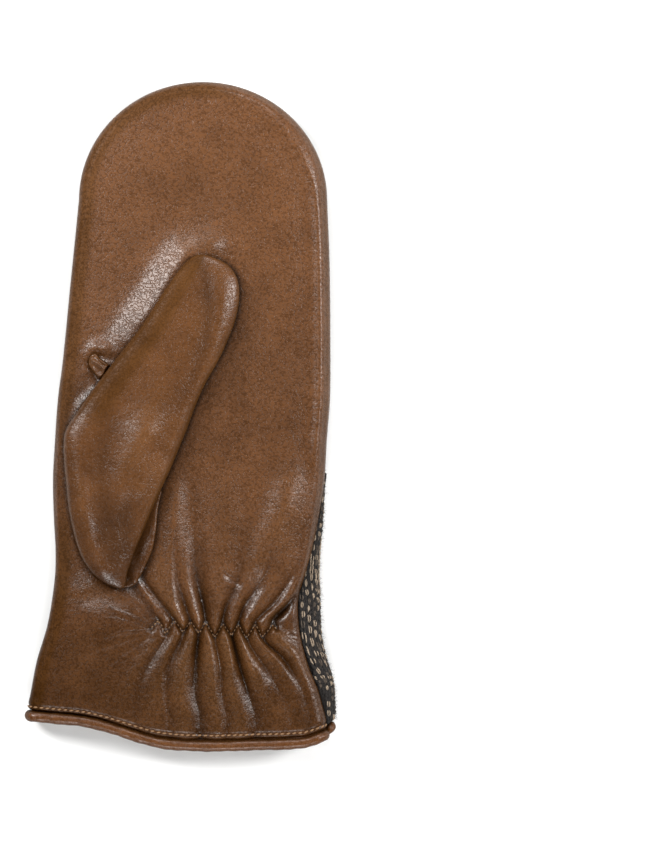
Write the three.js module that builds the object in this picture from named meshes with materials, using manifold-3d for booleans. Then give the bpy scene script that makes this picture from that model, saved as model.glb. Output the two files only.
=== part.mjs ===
// A leather mitten lying palm up: leather palm and thumb, knitted back, gathered wrist, rolled edges.
// Millimetres, +Z up, +Y to the fingertips, +X to the side away from the thumb. The floor is z = 0.
import * as THREE from "three";
import { mergeVertices } from "three/addons/utils/BufferGeometryUtils.js";
import Module from "manifold-3d";

const wasm = await Module();
wasm.setup();

// Sizes that can be set by themselves
const bodyLength = 250.8; // left corner of the hem to the fingertip
const handWidth = 102; // across the palm
const hemDrop = 12; // how far the hem hangs below its left corner
const seamHeight = 7; // the seam between palm and back, above the floor
const loft = 14; // the palm's crown above the seam
const leatherWall = 1.3;
const knitWall = 2.6;
const tipDepth = 47.2; // length of the half ellipse at the fingertip
const leftRoll = 5; // how far the palm takes to turn down at its left side
const rightRoll = 4.6;
const backRoll = 6; // the same for the knitted back
const gatherAlong = 32; // stitch line of the gather above the left corner of the hem
const pleatPitch = 6.4; // along the stitch line
const pleatDepth = 1.25;
const zigzag = 2.6; // the stitch line swings this far either way
const thumbLength = 137; // the thumb's whole leaf, base to tip
const thumbSpan = 44; // across the widest part of its base
const thumbThick = 12.4;
const thumbLean = 14.7; // degrees from the mitten's length
const thumbBaseX = -33.2; // the lowest point of the leaf, from the mitten's middle line
const thumbBaseAlong = 48.6; // the same point, above the left corner of the hem
const thumbHoleLong = 50; // the oval that opens the thumb into the hand hollow
const thumbHoleWide = 24;
const bindingDepth = 4.4; // the rolled edge, along the mitten's length
const bindingThick = 4;
const quirkLong = 10; // the tucked loop at the thumb's crotch
const quirkWide = 8.4;
const quirkHeight = 4.2;
const quirkTurn = 0.569; // where along the thumb's left edge it lies
const quirkOut = 3.4; // how far its middle is outside that edge
const gap = 0.3; // between pieces that touch
const sliver = 0.02; // corners of a cut nearer than this are made one

// Where the wrist's rows lie about the stitch line, as shares of bodyLength
const gatherRows = [-0.03, -0.013, 0, 0.013, 0.03];
const cuffRows = 3;
const bodyRows = 13;
const rowCrowding = 1.35; // rows lie closer together near the gather

// Mesh density
const pleatColumns = 15; // from the spine outwards, four to a pleat
const plainColumns = 4;
const rollColumns = 4;
const tipRays = 16;
const halfColumns = pleatColumns + plainColumns + rollColumns;

// Outline from the hem to the start of the tip's ellipse. along is a share of bodyLength from the
// left corner of the hem, and the edges are shares of handWidth from the mitten's middle line.
const outline = [
  { along: -0.03, left: -0.69, leather: 0.482, knit: 0.522 },
  { along: 0, left: -0.686, leather: 0.486, knit: 0.522 },
  { along: 0.046, left: -0.667, leather: 0.455, knit: 0.514 },
  { along: 0.078, left: -0.651, leather: 0.416, knit: 0.49 },
  { along: 0.11, left: -0.627, leather: 0.388, knit: 0.471 },
  { along: 0.134, left: -0.61, leather: 0.376, knit: 0.465 },
  { along: 0.174, left: -0.592, leather: 0.374, knit: 0.463 },
  { along: 0.214, left: -0.58, leather: 0.4, knit: 0.459 },
  { along: 0.254, left: -0.578, leather: 0.427, knit: 0.463 },
  { along: 0.301, left: -0.584, leather: 0.451, knit: 0.474 },
  { along: 0.365, left: -0.588, leather: 0.476, knit: 0.481 },
  { along: 0.429, left: -0.58, leather: 0.486, knit: 0.487 },
  { along: 0.493, left: -0.569, leather: 0.498, knit: 0.498 },
  { along: 0.557, left: -0.549, leather: 0.5, knit: 0.5 },
  { along: 0.684, left: -0.518, leather: 0.498, knit: 0.498 },
  { along: 0.748, left: -0.502, leather: 0.494, knit: 0.494 },
  { along: 0.812, left: -0.486, leather: 0.487, knit: 0.487 },
];

// Heights as shares of loft above the seam, and the spine (where left and right columns meet)
// as a share of handWidth. rise lifts the leather's right edge off the seam's level.
const heights = [
  { along: -0.03, shoulder: 0.5, crown: 0.6, rise: 0.16, spine: 0.112 },
  { along: 0, shoulder: 0.52, crown: 0.64, rise: 0.2, spine: 0.102 },
  { along: 0.06, shoulder: 0.58, crown: 0.72, rise: 0.32, spine: 0.08 },
  { along: 0.128, shoulder: 0.58, crown: 0.72, rise: 0.4, spine: 0.048 },
  { along: 0.19, shoulder: 0.66, crown: 0.8, rise: 0.38, spine: 0.03 },
  { along: 0.254, shoulder: 0.74, crown: 0.9, rise: 0.26, spine: 0.018 },
  { along: 0.365, shoulder: 0.8, crown: 0.97, rise: 0.03, spine: 0.006 },
  { along: 0.493, shoulder: 0.82, crown: 1, rise: 0, spine: 0 },
  { along: 0.65, shoulder: 0.82, crown: 1, rise: 0, spine: 0 },
  { along: 0.812, shoulder: 0.8, crown: 0.96, rise: 0, spine: 0 },
];

// The hem's drop across the mouth, as shares of hemDrop. across runs from the left edge to the right.
const hem = [
  { across: 0, palm: 0, back: 0 },
  { across: 0.105, palm: 0.1, back: 0.08 },
  { across: 0.176, palm: 0.167, back: 0.14 },
  { across: 0.24, palm: 0.3, back: 0.25 },
  { across: 0.307, palm: 0.5, back: 0.44 },
  { across: 0.378, palm: 0.733, back: 0.66 },
  { across: 0.445, palm: 0.9, back: 0.8 },
  { across: 0.509, palm: 0.967, back: 0.86 },
  { across: 0.62, palm: 1, back: 0.87 },
  { across: 0.734, palm: 0.967, back: 0.84 },
  { across: 0.919, palm: 0.9, back: 0.68 },
  { across: 0.976, palm: 0.733, back: 0.5 },
  { across: 1, palm: 0.633, back: 0.38 },
];

// How the columns lie at each height: step is the pleat columns' spacing as a share of pleatPitch,
// and pleated is how far the columns keep to it rather than spread evenly.
const columnLayout = [
  { along: -0.03, step: 0.36, pleated: 1 },
  { along: 0.03, step: 0.34, pleated: 1 },
  { along: 0.128, step: 0.25, pleated: 1 },
  { along: 0.2, step: 0.29, pleated: 1 },
  { along: 0.3, step: 0.34, pleated: 0.6 },
  { along: 0.45, step: 0.36, pleated: 0 },
  { along: 0.812, step: 0.36, pleated: 0 },
];

// Depth of the pleats by distance from the stitch line, as shares of bodyLength and of pleatDepth.
// Below the line the ridges stand where the valleys are above it.
const pleatFade = [
  { beyond: -0.145, depth: -0.3 },
  { beyond: -0.09, depth: -0.55 },
  { beyond: -0.03, depth: -1 },
  { beyond: -0.012, depth: -0.9 },
  { beyond: 0, depth: 0 },
  { beyond: 0.012, depth: 0.9 },
  { beyond: 0.03, depth: 0.8 },
  { beyond: 0.07, depth: 0.25 },
  { beyond: 0.11, depth: 0 },
];

// Main dents and folds of the palm, each a soft ridge or valley from one point to another. x is a
// share of handWidth, along a share of bodyLength, width and height shares of loft.
const folds = [
  { fromX: -0.063, fromAlong: 0.365, toX: -0.02, toAlong: 0.238, width: 0.25, height: -0.11 },
  { fromX: -0.02, fromAlong: 0.238, toX: 0.016, toAlong: 0.165, width: 0.2, height: -0.09 },
  { fromX: -0.129, fromAlong: 0.365, toX: -0.157, toAlong: 0.27, width: 0.24, height: 0.1 },
  { fromX: -0.157, fromAlong: 0.27, toX: -0.12, toAlong: 0.19, width: 0.22, height: 0.09 },
  { fromX: 0.302, fromAlong: 0.238, toX: 0.176, toAlong: 0.165, width: 0.22, height: -0.08 },
  { fromX: 0.263, fromAlong: 0.381, toX: 0.243, toAlong: 0.26, width: 0.6, height: 0.09 },
  { fromX: -0.502, fromAlong: 0.205, toX: -0.345, toAlong: 0.18, width: 0.5, height: 0.07 },
  { fromX: -0.502, fromAlong: 0.474, toX: -0.412, toAlong: 0.525, width: 0.22, height: 0.08 },
];

// The thumb's leaf. turn runs from 0 at the base to 1 at the tip, as the angle of a half turn, and the
// edges are shares of thumbSpan from the leaf's axis. face is where its upper face ends at the right,
// and crown is the height of its upper face as a share of thumbThick.
const thumbLeaf = [
  { turn: 0, left: 0, right: 0, face: 0, crown: 0.62 },
  { turn: 0.045, left: -0.13, right: 0.045, face: 0.04, crown: 0.68 },
  { turn: 0.09, left: -0.245, right: 0.125, face: 0.05, crown: 0.74 },
  { turn: 0.14, left: -0.358, right: 0.158, face: 0.04, crown: 0.8 },
  { turn: 0.194, left: -0.46, right: 0.184, face: 0.05, crown: 0.88 },
  { turn: 0.24, left: -0.541, right: 0.204, face: 0.064, crown: 0.93 },
  { turn: 0.29, left: -0.627, right: 0.19, face: 0.09, crown: 0.97 },
  { turn: 0.334, left: -0.693, right: 0.16, face: 0.115, crown: 1 },
  { turn: 0.377, left: -0.761, right: 0.152, face: 0.145, crown: 1 },
  { turn: 0.413, left: -0.809, right: 0.175, face: 0.175, crown: 1 },
  { turn: 0.44, left: -0.822, right: 0.193, face: 0.193, crown: 1 },
  { turn: 0.5, left: -0.727, right: 0.232, face: 0.232, crown: 0.98 },
  { turn: 0.54, left: -0.65, right: 0.25, face: 0.25, crown: 0.97 },
  { turn: 0.59, left: -0.552, right: 0.288, face: 0.288, crown: 0.96 },
  { turn: 0.634, left: -0.464, right: 0.342, face: 0.342, crown: 0.95 },
  { turn: 0.68, left: -0.384, right: 0.38, face: 0.38, crown: 0.93 },
  { turn: 0.74, left: -0.311, right: 0.404, face: 0.404, crown: 0.9 },
  { turn: 0.81, left: -0.232, right: 0.382, face: 0.382, crown: 0.86 },
  { turn: 0.88, left: -0.159, right: 0.307, face: 0.307, crown: 0.8 },
  { turn: 0.94, left: -0.09, right: 0.19, face: 0.19, crown: 0.72 },
  { turn: 1, left: 0, right: 0, face: 0, crown: 0.6 },
];

// The tucked loop's outline, as shares of its half width and half length
const quirkOutline = [
  { x: 0.9, y: 0.1 },
  { x: 0.1, y: 0.62 },
  { x: -0.35, y: 1 },
  { x: -0.85, y: 0.75 },
  { x: -0.95, y: 0.15 },
  { x: -0.6, y: -0.45 },
  { x: 0, y: -0.98 },
  { x: 0.45, y: -0.7 },
];

// Smooth value of one named column of a table at a key
function sample(table, key, at, column) {
  const last = table.length - 1;
  if (at <= table[0][key]) return table[0][column];
  if (at >= table[last][key]) return table[last][column];
  let i = 0;
  while (table[i + 1][key] < at) i++;
  const slope = (k) => {
    const before = table[Math.max(k - 1, 0)];
    const after = table[Math.min(k + 1, last)];
    return (after[column] - before[column]) / (after[key] - before[key]);
  };
  const span = table[i + 1][key] - table[i][key];
  const t = (at - table[i][key]) / span;
  const t2 = t * t;
  const t3 = t2 * t;
  return (2 * t3 - 3 * t2 + 1) * table[i][column] + (t3 - 2 * t2 + t) * span * slope(i)
    + (3 * t2 - 2 * t3) * table[i + 1][column] + (t3 - t2) * span * slope(i + 1);
}

const mix = (a, b, t) => a + (b - a) * t;
const clamp01 = (t) => Math.min(Math.max(t, 0), 1);
const tipAlong = bodyLength - tipDepth; // where the tip's ellipse starts
const share = (along) => along / bodyLength;

// How high a surface stands after turning in by a quarter circle, for 0 to 1 of its roll
const turnIn = (t) => Math.sqrt(1 - (1 - clamp01(t)) ** 2);

// Height added by the palm's folds at a point
function foldHeight(x, along) {
  let sum = 0;
  for (const fold of folds) {
    const ax = fold.fromX * handWidth;
    const ay = fold.fromAlong * bodyLength;
    const dx = fold.toX * handWidth - ax;
    const dy = fold.toAlong * bodyLength - ay;
    const t = clamp01(((x - ax) * dx + (along - ay) * dy) / (dx * dx + dy * dy));
    const away = Math.hypot(x - ax - t * dx, along - ay - t * dy);
    sum += fold.height * loft * Math.exp(-((away / (fold.width * loft)) ** 2));
  }
  return sum;
}

// Where column m lies, as a distance from the spine, for a row half as wide as reach
function columnOffset(m, reach, roll, at) {
  const flat = reach - roll;
  if (m >= pleatColumns + plainColumns) {
    return flat + roll * Math.sin(((m - pleatColumns - plainColumns) / rollColumns) * Math.PI / 2);
  }
  const even = (m / (pleatColumns + plainColumns)) * flat;
  const step = Math.min(sample(columnLayout, "along", at, "step") * pleatPitch, flat / (pleatColumns + 1));
  const plain = mix(pleatColumns * step, flat, (m - pleatColumns) / plainColumns);
  const pleated = m <= pleatColumns ? m * step : plain;
  return mix(even, pleated, sample(columnLayout, "along", at, "pleated"));
}

// The rows of the mitten from the left of the hem, up, round the tip and down to the right. A row
// runs from the outline (column 0) to the spine. Each entry says where its ends lie.
function makeRows() {
  const alongs = [];
  const below = gatherAlong + gatherRows[0] * bodyLength;
  const above = gatherAlong + gatherRows.at(-1) * bodyLength;
  for (let i = 0; i < cuffRows; i++) alongs.push((below * i) / cuffRows);
  for (const beyond of gatherRows) alongs.push(gatherAlong + beyond * bodyLength);
  for (let i = 1; i <= bodyRows; i++) alongs.push(mix(above, tipAlong, (i / bodyRows) ** rowCrowding));
  const rows = alongs.map((along) => ({ side: -1, along, ray: 0 }));
  for (let i = 1; i < tipRays; i++) rows.push({ side: 0, along: tipAlong, ray: i / tipRays });
  for (const along of alongs.toReversed()) rows.push({ side: 1, along, ray: 1 });
  return rows;
}
const rows = makeRows();

// Ends of a row, in plan: the spine's point, and the edge for one column of the outline table
function rowEnds(row, edge) {
  const at = share(row.along);
  const spineX = sample(heights, "along", at, "spine") * handWidth;
  if (row.side === 0) {
    const half = sample(outline, "along", at, "leather") * handWidth;
    const other = -sample(outline, "along", at, "left") * handWidth;
    const angle = Math.PI * (1 - row.ray);
    const reachX = row.ray > 0.5 ? half : other;
    const edgeX = spineX + reachX * Math.cos(angle);
    return { spineX, edgeX, edgeAlong: row.along + tipDepth * Math.sin(angle) };
  }
  const column = row.side < 0 ? "left" : edge;
  return { spineX, edgeX: sample(outline, "along", at, column) * handWidth, edgeAlong: row.along };
}

// Below the stitch line the rows bend to follow the hem
function hemBend(x, along, left, right, column) {
  if (along >= gatherAlong) return along;
  const drop = sample(hem, "across", clamp01((x - left) / (right - left)), column) * hemDrop;
  return along - drop * (1 - along / gatherAlong);
}

// A point of the palm's outer face. Column 0 is at the edge, and halfColumns at the spine.
function palmPoint(row, column, pleats) {
  const at = share(row.along);
  const ends = rowEnds(row, "leather");
  const m = halfColumns - column;
  const reach = Math.hypot(ends.edgeX - ends.spineX, ends.edgeAlong - row.along);
  const roll = row.side === 0 ? mix(leftRoll, rightRoll, row.ray) : row.side < 0 ? leftRoll : rightRoll;
  const off = columnOffset(m, reach, roll, at);
  const x = mix(ends.spineX, ends.edgeX, off / reach);
  let along = mix(row.along, ends.edgeAlong, off / reach);
  const left = sample(outline, "along", at, "left") * handWidth;
  const right = sample(outline, "along", at, "leather") * handWidth;
  const wave = m <= pleatColumns ? Math.cos((m * Math.PI) / 2) : 0;
  if (row.side !== 0) {
    const near = Math.max(0, 1 - Math.abs(row.along - gatherAlong) / (4 * zigzag));
    along = hemBend(x, row.along, left, right, "palm") - wave * zigzag * near;
  }
  const rise = row.side > 0 ? sample(heights, "along", at, "rise") * loft : 0;
  const shoulder = sample(heights, "along", at, "shoulder") * loft;
  const crown = sample(heights, "along", at, "crown") * loft;
  const rim = Math.min(rise, shoulder);
  let z = seamHeight + mix(rim, shoulder, turnIn((reach - off) / roll));
  z += (crown - shoulder) * (1 - (off / reach) ** 2);
  z += foldHeight(x, along) * turnIn((reach - off) / (2 * roll));
  if (pleats && row.side !== 0) {
    z += wave * pleatDepth * sample(pleatFade, "beyond", at - share(gatherAlong), "depth");
  }
  return new THREE.Vector3(x, along, z);
}

// A point of the back's outer face, from the rim under the palm's edge to the spine on the floor
const rimColumns = 3;
function backPoint(row, column) {
  const at = share(row.along);
  const ends = rowEnds(row, "knit");
  const reach = Math.hypot(ends.edgeX - ends.spineX, ends.edgeAlong - row.along);
  const left = sample(outline, "along", at, "left") * handWidth;
  const right = sample(outline, "along", at, "knit") * handWidth;
  const place = (x, along, z) => {
    const bent = row.side === 0 ? along : hemBend(x, along, left, right, "back");
    return new THREE.Vector3(x, bent, z);
  };
  const rollTop = seamHeight - gap - 1;
  if (column < rimColumns) {
    const rise = row.side > 0 ? sample(heights, "along", at, "rise") * loft : 0;
    const shoulder = sample(heights, "along", at, "shoulder") * loft;
    const rimZ = seamHeight + Math.min(rise, shoulder) - gap;
    const leather = row.side > 0 ? sample(outline, "along", at, "leather") * handWidth : ends.edgeX;
    const t = column / rimColumns;
    const lean = Math.cos((t * Math.PI) / 2);
    return place(mix(ends.edgeX, Math.min(leather, ends.edgeX), 1 - Math.sin((t * Math.PI) / 2)),
      ends.edgeAlong, mix(rollTop, rimZ, lean));
  }
  const inner = column - rimColumns;
  const turns = 4;
  const flat = reach - backRoll;
  const flats = backColumns - rimColumns - turns;
  const turn = (inner / turns) * (Math.PI / 2);
  const off = inner <= turns ? flat + backRoll * Math.cos(turn) : flat * (1 - (inner - turns) / flats);
  const z = inner <= turns ? rollTop * (1 - Math.sin(turn)) : 0;
  return place(mix(ends.spineX, ends.edgeX, off / reach), mix(row.along, ends.edgeAlong, off / reach), z);
}
const backColumns = rimColumns + 4 + 3;

// A grid of points, one list for each row, and the normals of its face
function pointGrid(useRows, columns, point) {
  return useRows.map((row) => Array.from({ length: columns + 1 }, (_, column) => point(row, column)));
}

function gridNormals(grid) {
  const lastRow = grid.length - 1;
  const lastColumn = grid[0].length - 1;
  return grid.map((points, i) => points.map((_, j) => {
    const beyond = j === lastColumn ? grid[lastRow - i][lastColumn - 1] : points[j + 1];
    const across = beyond.clone().sub(points[Math.max(j - 1, 0)]);
    const forward = grid[Math.min(i + 1, lastRow)][j].clone().sub(grid[Math.max(i - 1, 0)][j]);
    if (forward.length() < 1e-6) return new THREE.Vector3(0, 0, 1);
    return across.cross(forward).normalize();
  }));
}

// Triangles of a closed sheet between two grids whose last columns are joined at the spine
function sheetSolid(outer, inner) {
  const triangles = [];
  const add = (a, b, c) => triangles.push(a, b, c);
  const quad = (a, b, c, d) => {
    add(a, b, c);
    add(a, c, d);
  };
  const lastRow = outer.length - 1;
  const lastColumn = outer[0].length - 1;
  for (let i = 0; i < lastRow; i++) {
    for (let j = 0; j < lastColumn; j++) {
      quad(outer[i][j], outer[i + 1][j], outer[i + 1][j + 1], outer[i][j + 1]);
      quad(inner[i][j], inner[i][j + 1], inner[i + 1][j + 1], inner[i + 1][j]);
    }
    quad(outer[i][0], inner[i][0], inner[i + 1][0], outer[i + 1][0]);
  }
  for (let j = 0; j < lastColumn; j++) {
    quad(outer[0][j], outer[0][j + 1], inner[0][j + 1], inner[0][j]);
    quad(outer[lastRow][j], inner[lastRow][j], inner[lastRow][j + 1], outer[lastRow][j + 1]);
  }
  return solidFromTriangles(triangles);
}

// A closed solid from rings of points, closed by a fan at each end
function ringSolid(rings) {
  const triangles = [];
  const count = rings[0].length;
  for (let i = 0; i < rings.length - 1; i++) {
    for (let k = 0; k < count; k++) {
      const next = (k + 1) % count;
      triangles.push(rings[i][k], rings[i][next], rings[i + 1][next]);
      triangles.push(rings[i][k], rings[i + 1][next], rings[i + 1][k]);
    }
  }
  const centre = (ring) => ring.reduce((sum, p) => sum.add(p), new THREE.Vector3()).divideScalar(count);
  const start = centre(rings[0]);
  const end = centre(rings.at(-1));
  for (let k = 0; k < count; k++) {
    const next = (k + 1) % count;
    triangles.push(start, rings[0][next], rings[0][k]);
    triangles.push(end, rings.at(-1)[k], rings.at(-1)[next]);
  }
  return solidFromTriangles(triangles);
}

// A solid from a list of triangle corners, with corners nearer than weld made one
function solidFromTriangles(points, weld = 1e-4) {
  const positions = new Float32Array(points.length * 3);
  points.forEach((p, i) => positions.set([p.x, p.y, p.z], i * 3));
  const soup = new THREE.BufferGeometry();
  soup.setAttribute("position", new THREE.BufferAttribute(positions, 3));
  const merged = mergeVertices(soup, weld);
  const index = [];
  const all = merged.index.array;
  for (let i = 0; i < all.length; i += 3) {
    const [a, b, c] = [all[i], all[i + 1], all[i + 2]];
    if (a !== b && b !== c && a !== c) index.push(a, b, c);
  }
  const make = (triVerts) => new wasm.Manifold(new wasm.Mesh({
    numProp: 3, vertProperties: merged.attributes.position.array, triVerts: Uint32Array.from(triVerts),
  }));
  const solid = make(index);
  return solid.volume() > 0 ? solid : make(index.toReversed());
}

// A cut solid again, without the slivers that a cut leaves
function withoutSlivers(solid) {
  const mesh = solid.getMesh();
  const corner = (v) => new THREE.Vector3(...mesh.vertProperties.slice(3 * v, 3 * v + 3));
  const corners = Array.from(mesh.triVerts, corner);
  return solidFromTriangles(corners, sliver);
}

function geometryFromSolid(solid) {
  const mesh = solid.getMesh();
  const geometry = new THREE.BufferGeometry();
  geometry.setAttribute("position", new THREE.BufferAttribute(Float32Array.from(mesh.vertProperties), 3));
  geometry.setIndex(Array.from(mesh.triVerts));
  return geometry;
}

// The inner face of a sheet. At the rim the wall is measured level, and at the hem along the hem.
function innerGrid(grid, normals, wall, levelRim) {
  const lastRow = grid.length - 1;
  return grid.map((points, i) => points.map((p, j) => {
    const n = normals[i][j].clone();
    if (j === 0 && levelRim) n.z = 0;
    if (i === 0 || i === lastRow) n.y = 0;
    return p.clone().addScaledVector(n.normalize(), -wall);
  }));
}

const palmBase = pointGrid(rows, halfColumns, (row, column) => palmPoint(row, column, false));
const palmNormals = gridNormals(palmBase);
const palmOuter = pointGrid(rows, halfColumns, (row, column) => palmPoint(row, column, true));
const palmInner = innerGrid(palmOuter, palmNormals, leatherWall, true);

// Everything under the palm's outer face lifted by some height, to seat the thumb on the palm
function underPalm(lift) {
  const top = palmOuter.map((points) => points.map((p) => p.clone().setZ(p.z + lift)));
  const bottom = palmOuter.map((points) => points.map((p) => p.clone().setZ(-seamHeight)));
  return sheetSolid(top, bottom);
}

// A point in the thumb's own plane: its axis leans to the right of the mitten's length
function thumbPlane(alongAxis, offset) {
  const lean = THREE.MathUtils.degToRad(thumbLean);
  const x = thumbBaseX + alongAxis * Math.sin(lean) + offset * Math.cos(lean);
  const along = thumbBaseAlong + alongAxis * Math.cos(lean) - offset * Math.sin(lean);
  return [x, along];
}

// Height of the thumb's middle above the floor. Its underside is cut to the palm that it lies on, and
// reaches deepest at its base, which stands over the palm's turned down side.
function thumbMiddle(turn) {
  const base = seamHeight + loft * mix(0.82, 1, clamp01(turn / 0.45));
  return base + gap + thumbThick * 0.42 - loft * 0.04 * clamp01((turn - 0.6) / 0.4);
}
const thumbSink = (turn) => mix(2.4, 1.15, clamp01(turn / 0.5));

// One tube of the thumb, shrunk inwards by inset. rightEdge names the column that bounds it.
const thumbStations = 26;
const thumbRing = 16;
function thumbBody(inset, leftEdge, rightEdge, thick) {
  const rings = [];
  for (let i = 0; i <= thumbStations; i++) {
    const turn = mix(0.008, 0.992, i / thumbStations);
    const half = thumbLength / 2 - inset;
    const axis = thumbLength / 2 - half * Math.cos(Math.PI * turn);
    const left = leftEdge(turn) + inset;
    const right = Math.max(sample(thumbLeaf, "turn", turn, rightEdge) * thumbSpan - inset, left + 1);
    const ends = Math.sin(Math.PI * turn) ** 0.4;
    const high = Math.max(thick * sample(thumbLeaf, "turn", turn, "crown") * ends / 2 - inset, 0.2);
    const ring = [];
    for (let k = 0; k < thumbRing; k++) {
      const angle = (k / thumbRing) * 2 * Math.PI;
      const c = Math.cos(angle);
      const s = Math.sin(angle);
      const bulge = 2 / 2.5;
      const offset = mix(left, right, 0.5 + 0.5 * Math.sign(c) * Math.abs(c) ** bulge);
      const [x, along] = thumbPlane(axis, offset);
      const reach = s < 0 ? high * thumbSink(turn) : high;
      const z = thumbMiddle(turn) + reach * Math.sign(s) * Math.abs(s) ** bulge;
      ring.push(new THREE.Vector3(x, along, z));
    }
    rings.push(ring);
  }
  return ringSolid(rings);
}
const leafLeft = (turn) => sample(thumbLeaf, "turn", turn, "left") * thumbSpan;

// The strip of the thumb's underside that shows beside its base, a low tube under the upper face
const stripThick = 6.4;
const stripWide = 15;
function thumbStrip(inset) {
  const rings = [];
  const stations = 10;
  for (let i = 0; i <= stations; i++) {
    const turn = mix(0.03, 0.36, i / stations);
    const axis = (thumbLength / 2) * (1 - Math.cos(Math.PI * turn));
    const right = sample(thumbLeaf, "turn", turn, "right") * thumbSpan - inset;
    const swell = Math.sin(Math.PI * mix(0.12, 0.88, i / stations));
    const high = (stripThick / 2) * swell - inset;
    const left = right - (stripWide - 2 * inset) * swell;
    const ring = [];
    for (let k = 0; k < 8; k++) {
      const angle = (k / 8) * 2 * Math.PI;
      const [x, along] = thumbPlane(axis, mix(left, right, 0.5 + 0.5 * Math.cos(angle)));
      const z = thumbMiddle(turn) - thumbThick * 0.2 + Math.max(high, 0.3) * Math.sin(angle);
      ring.push(new THREE.Vector3(x, along, z));
    }
    rings.push(ring);
  }
  return ringSolid(rings);
}

// The oval that joins the thumb's hollow to the hand's, through the palm and up into the thumb
function thumbHole() {
  const [x, along] = thumbPlane(thumbLength * 0.235, -thumbSpan * 0.235);
  const outlinePoints = [];
  const sides = 20;
  const lean = THREE.MathUtils.degToRad(thumbLean - 5);
  for (let k = 0; k < sides; k++) {
    const angle = (k / sides) * 2 * Math.PI;
    const a = (thumbHoleLong / 2) * Math.cos(angle);
    const b = (thumbHoleWide / 2) * Math.sin(angle);
    const px = x + a * Math.sin(lean) + b * Math.cos(lean);
    outlinePoints.push([px, along + a * Math.cos(lean) - b * Math.sin(lean)]);
  }
  const ring = (z) => outlinePoints.map(([px, py]) => new THREE.Vector3(px, py, z));
  return ringSolid([ring(knitWall + gap), ring(seamHeight + loft + 0.3 * thumbThick)]);
}

function makePalm() {
  return withoutSlivers(sheetSolid(palmOuter, palmInner).subtract(thumbHole()));
}

// The back needs only every second row
const backRows = rows.filter((_, i) => Math.min(i, rows.length - 1 - i) % 2 === 0);

function makeBack() {
  const grid = pointGrid(backRows, backColumns, backPoint);
  return sheetSolid(grid, innerGrid(grid, gridNormals(grid), -knitWall, false));
}

const thumbOuter = thumbBody(0, leafLeft, "face", thumbThick).add(thumbStrip(0));

function makeThumb() {
  const tube = thumbBody(leatherWall, leafLeft, "face", thumbThick);
  const hollow = tube.add(thumbStrip(leatherWall)).add(thumbHole());
  const floor = underPalm(gap + leatherWall).subtract(thumbHole());
  return withoutSlivers(thumbOuter.subtract(underPalm(gap)).subtract(hollow.subtract(floor)));
}

// The tucked loop: a small puffed pad whose middle is pressed in, lying against the thumb's edge
function makeQuirk() {
  const shape = new THREE.CatmullRomCurve3(
    quirkOutline.map(({ x, y }) => new THREE.Vector3((x * quirkWide) / 2, (y * quirkLong) / 2, 0)), true);
  const edge = shape.getSpacedPoints(24).slice(0, 24);
  const levels = [
    { reach: 0.86, lift: -1 },
    { reach: 1, lift: 0.45 },
    { reach: 0.94, lift: 0.85 },
    { reach: 0.74, lift: 1 },
    { reach: 0.5, lift: 0.72 },
    { reach: 0.2, lift: 0.6 },
  ];
  const axis = (thumbLength / 2) * (1 - Math.cos(Math.PI * quirkTurn));
  const [x, along] = thumbPlane(axis, leafLeft(quirkTurn) - quirkOut);
  const base = seamHeight + loft * 0.86;
  const rings = levels.map(({ reach, lift }) => edge.map((p) => new THREE.Vector3(
    x + p.x * reach, along + p.y * reach, base + quirkHeight * lift)));
  const clear = thumbBody(-gap, leafLeft, "face", thumbThick + gap);
  return withoutSlivers(ringSolid(rings).subtract(underPalm(gap)).subtract(clear));
}

// A rolled edge along a hem: an oval tube that follows the middle of the sheet's wall
function makeBinding(grid, normals, wall, outwards) {
  const lastRow = grid.length - 1;
  const left = grid[0].map((p, j) => [p, normals[0][j]]);
  const right = grid[lastRow].map((p, j) => [p, normals[lastRow][j]]).toReversed().slice(1);
  const path = left.concat(right);
  const sides = 8;
  const rings = path.map(([p, normal], i) => {
    const n = normal.clone().setY(0).normalize().multiplyScalar(outwards);
    if (i === 0 || i === path.length - 1) n.setZ(0).normalize();
    const centre = p.clone().addScaledVector(n, -wall / 2);
    centre.y -= gap + bindingDepth / 2;
    return Array.from({ length: sides }, (_, k) => {
      const angle = (k / sides) * 2 * Math.PI;
      const point = centre.clone().addScaledVector(n, (bindingThick / 2) * Math.sin(angle));
      point.y += (bindingDepth / 2) * Math.cos(angle);
      return point;
    });
  });
  return ringSolid(rings);
}

function makePalmBinding() {
  return makeBinding(palmBase, palmNormals, leatherWall, 1);
}

function makeBackBinding() {
  const grid = pointGrid(rows, backColumns, backPoint);
  return makeBinding(grid, gridNormals(grid), bindingThick, -1);
}

const leather = { roughness: 0.48, metalness: 0 };
const pieces = [
  { name: "palm_panel", solid: makePalm(), colour: "#6d4a31", look: leather },
  { name: "back_panel", solid: makeBack(), colour: "#3a332d", look: { roughness: 0.95, metalness: 0 } },
  { name: "thumb", solid: makeThumb(), colour: "#77573f", look: leather },
  { name: "thumb_quirk", solid: makeQuirk(), colour: "#6d4a31", look: leather },
  { name: "cuff_binding_palm", solid: makePalmBinding(), colour: "#64432b", look: leather },
  { name: "cuff_binding_back", solid: makeBackBinding(), colour: "#64432b", look: leather },
];

const mitten = new THREE.Group();
for (const { name, solid, colour, look } of pieces) {
  const material = new THREE.MeshStandardMaterial({ color: colour, ...look });
  const mesh = new THREE.Mesh(geometryFromSolid(solid), material);
  mesh.name = name;
  mitten.add(mesh);
}

// The origin is the middle of the whole mitten's footprint, on the floor
const box = new THREE.Box3().setFromObject(mitten);
mitten.position.set(-(box.min.x + box.max.x) / 2, -(box.min.y + box.max.y) / 2, -box.min.z);

export default mitten;
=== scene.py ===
import math

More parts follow.
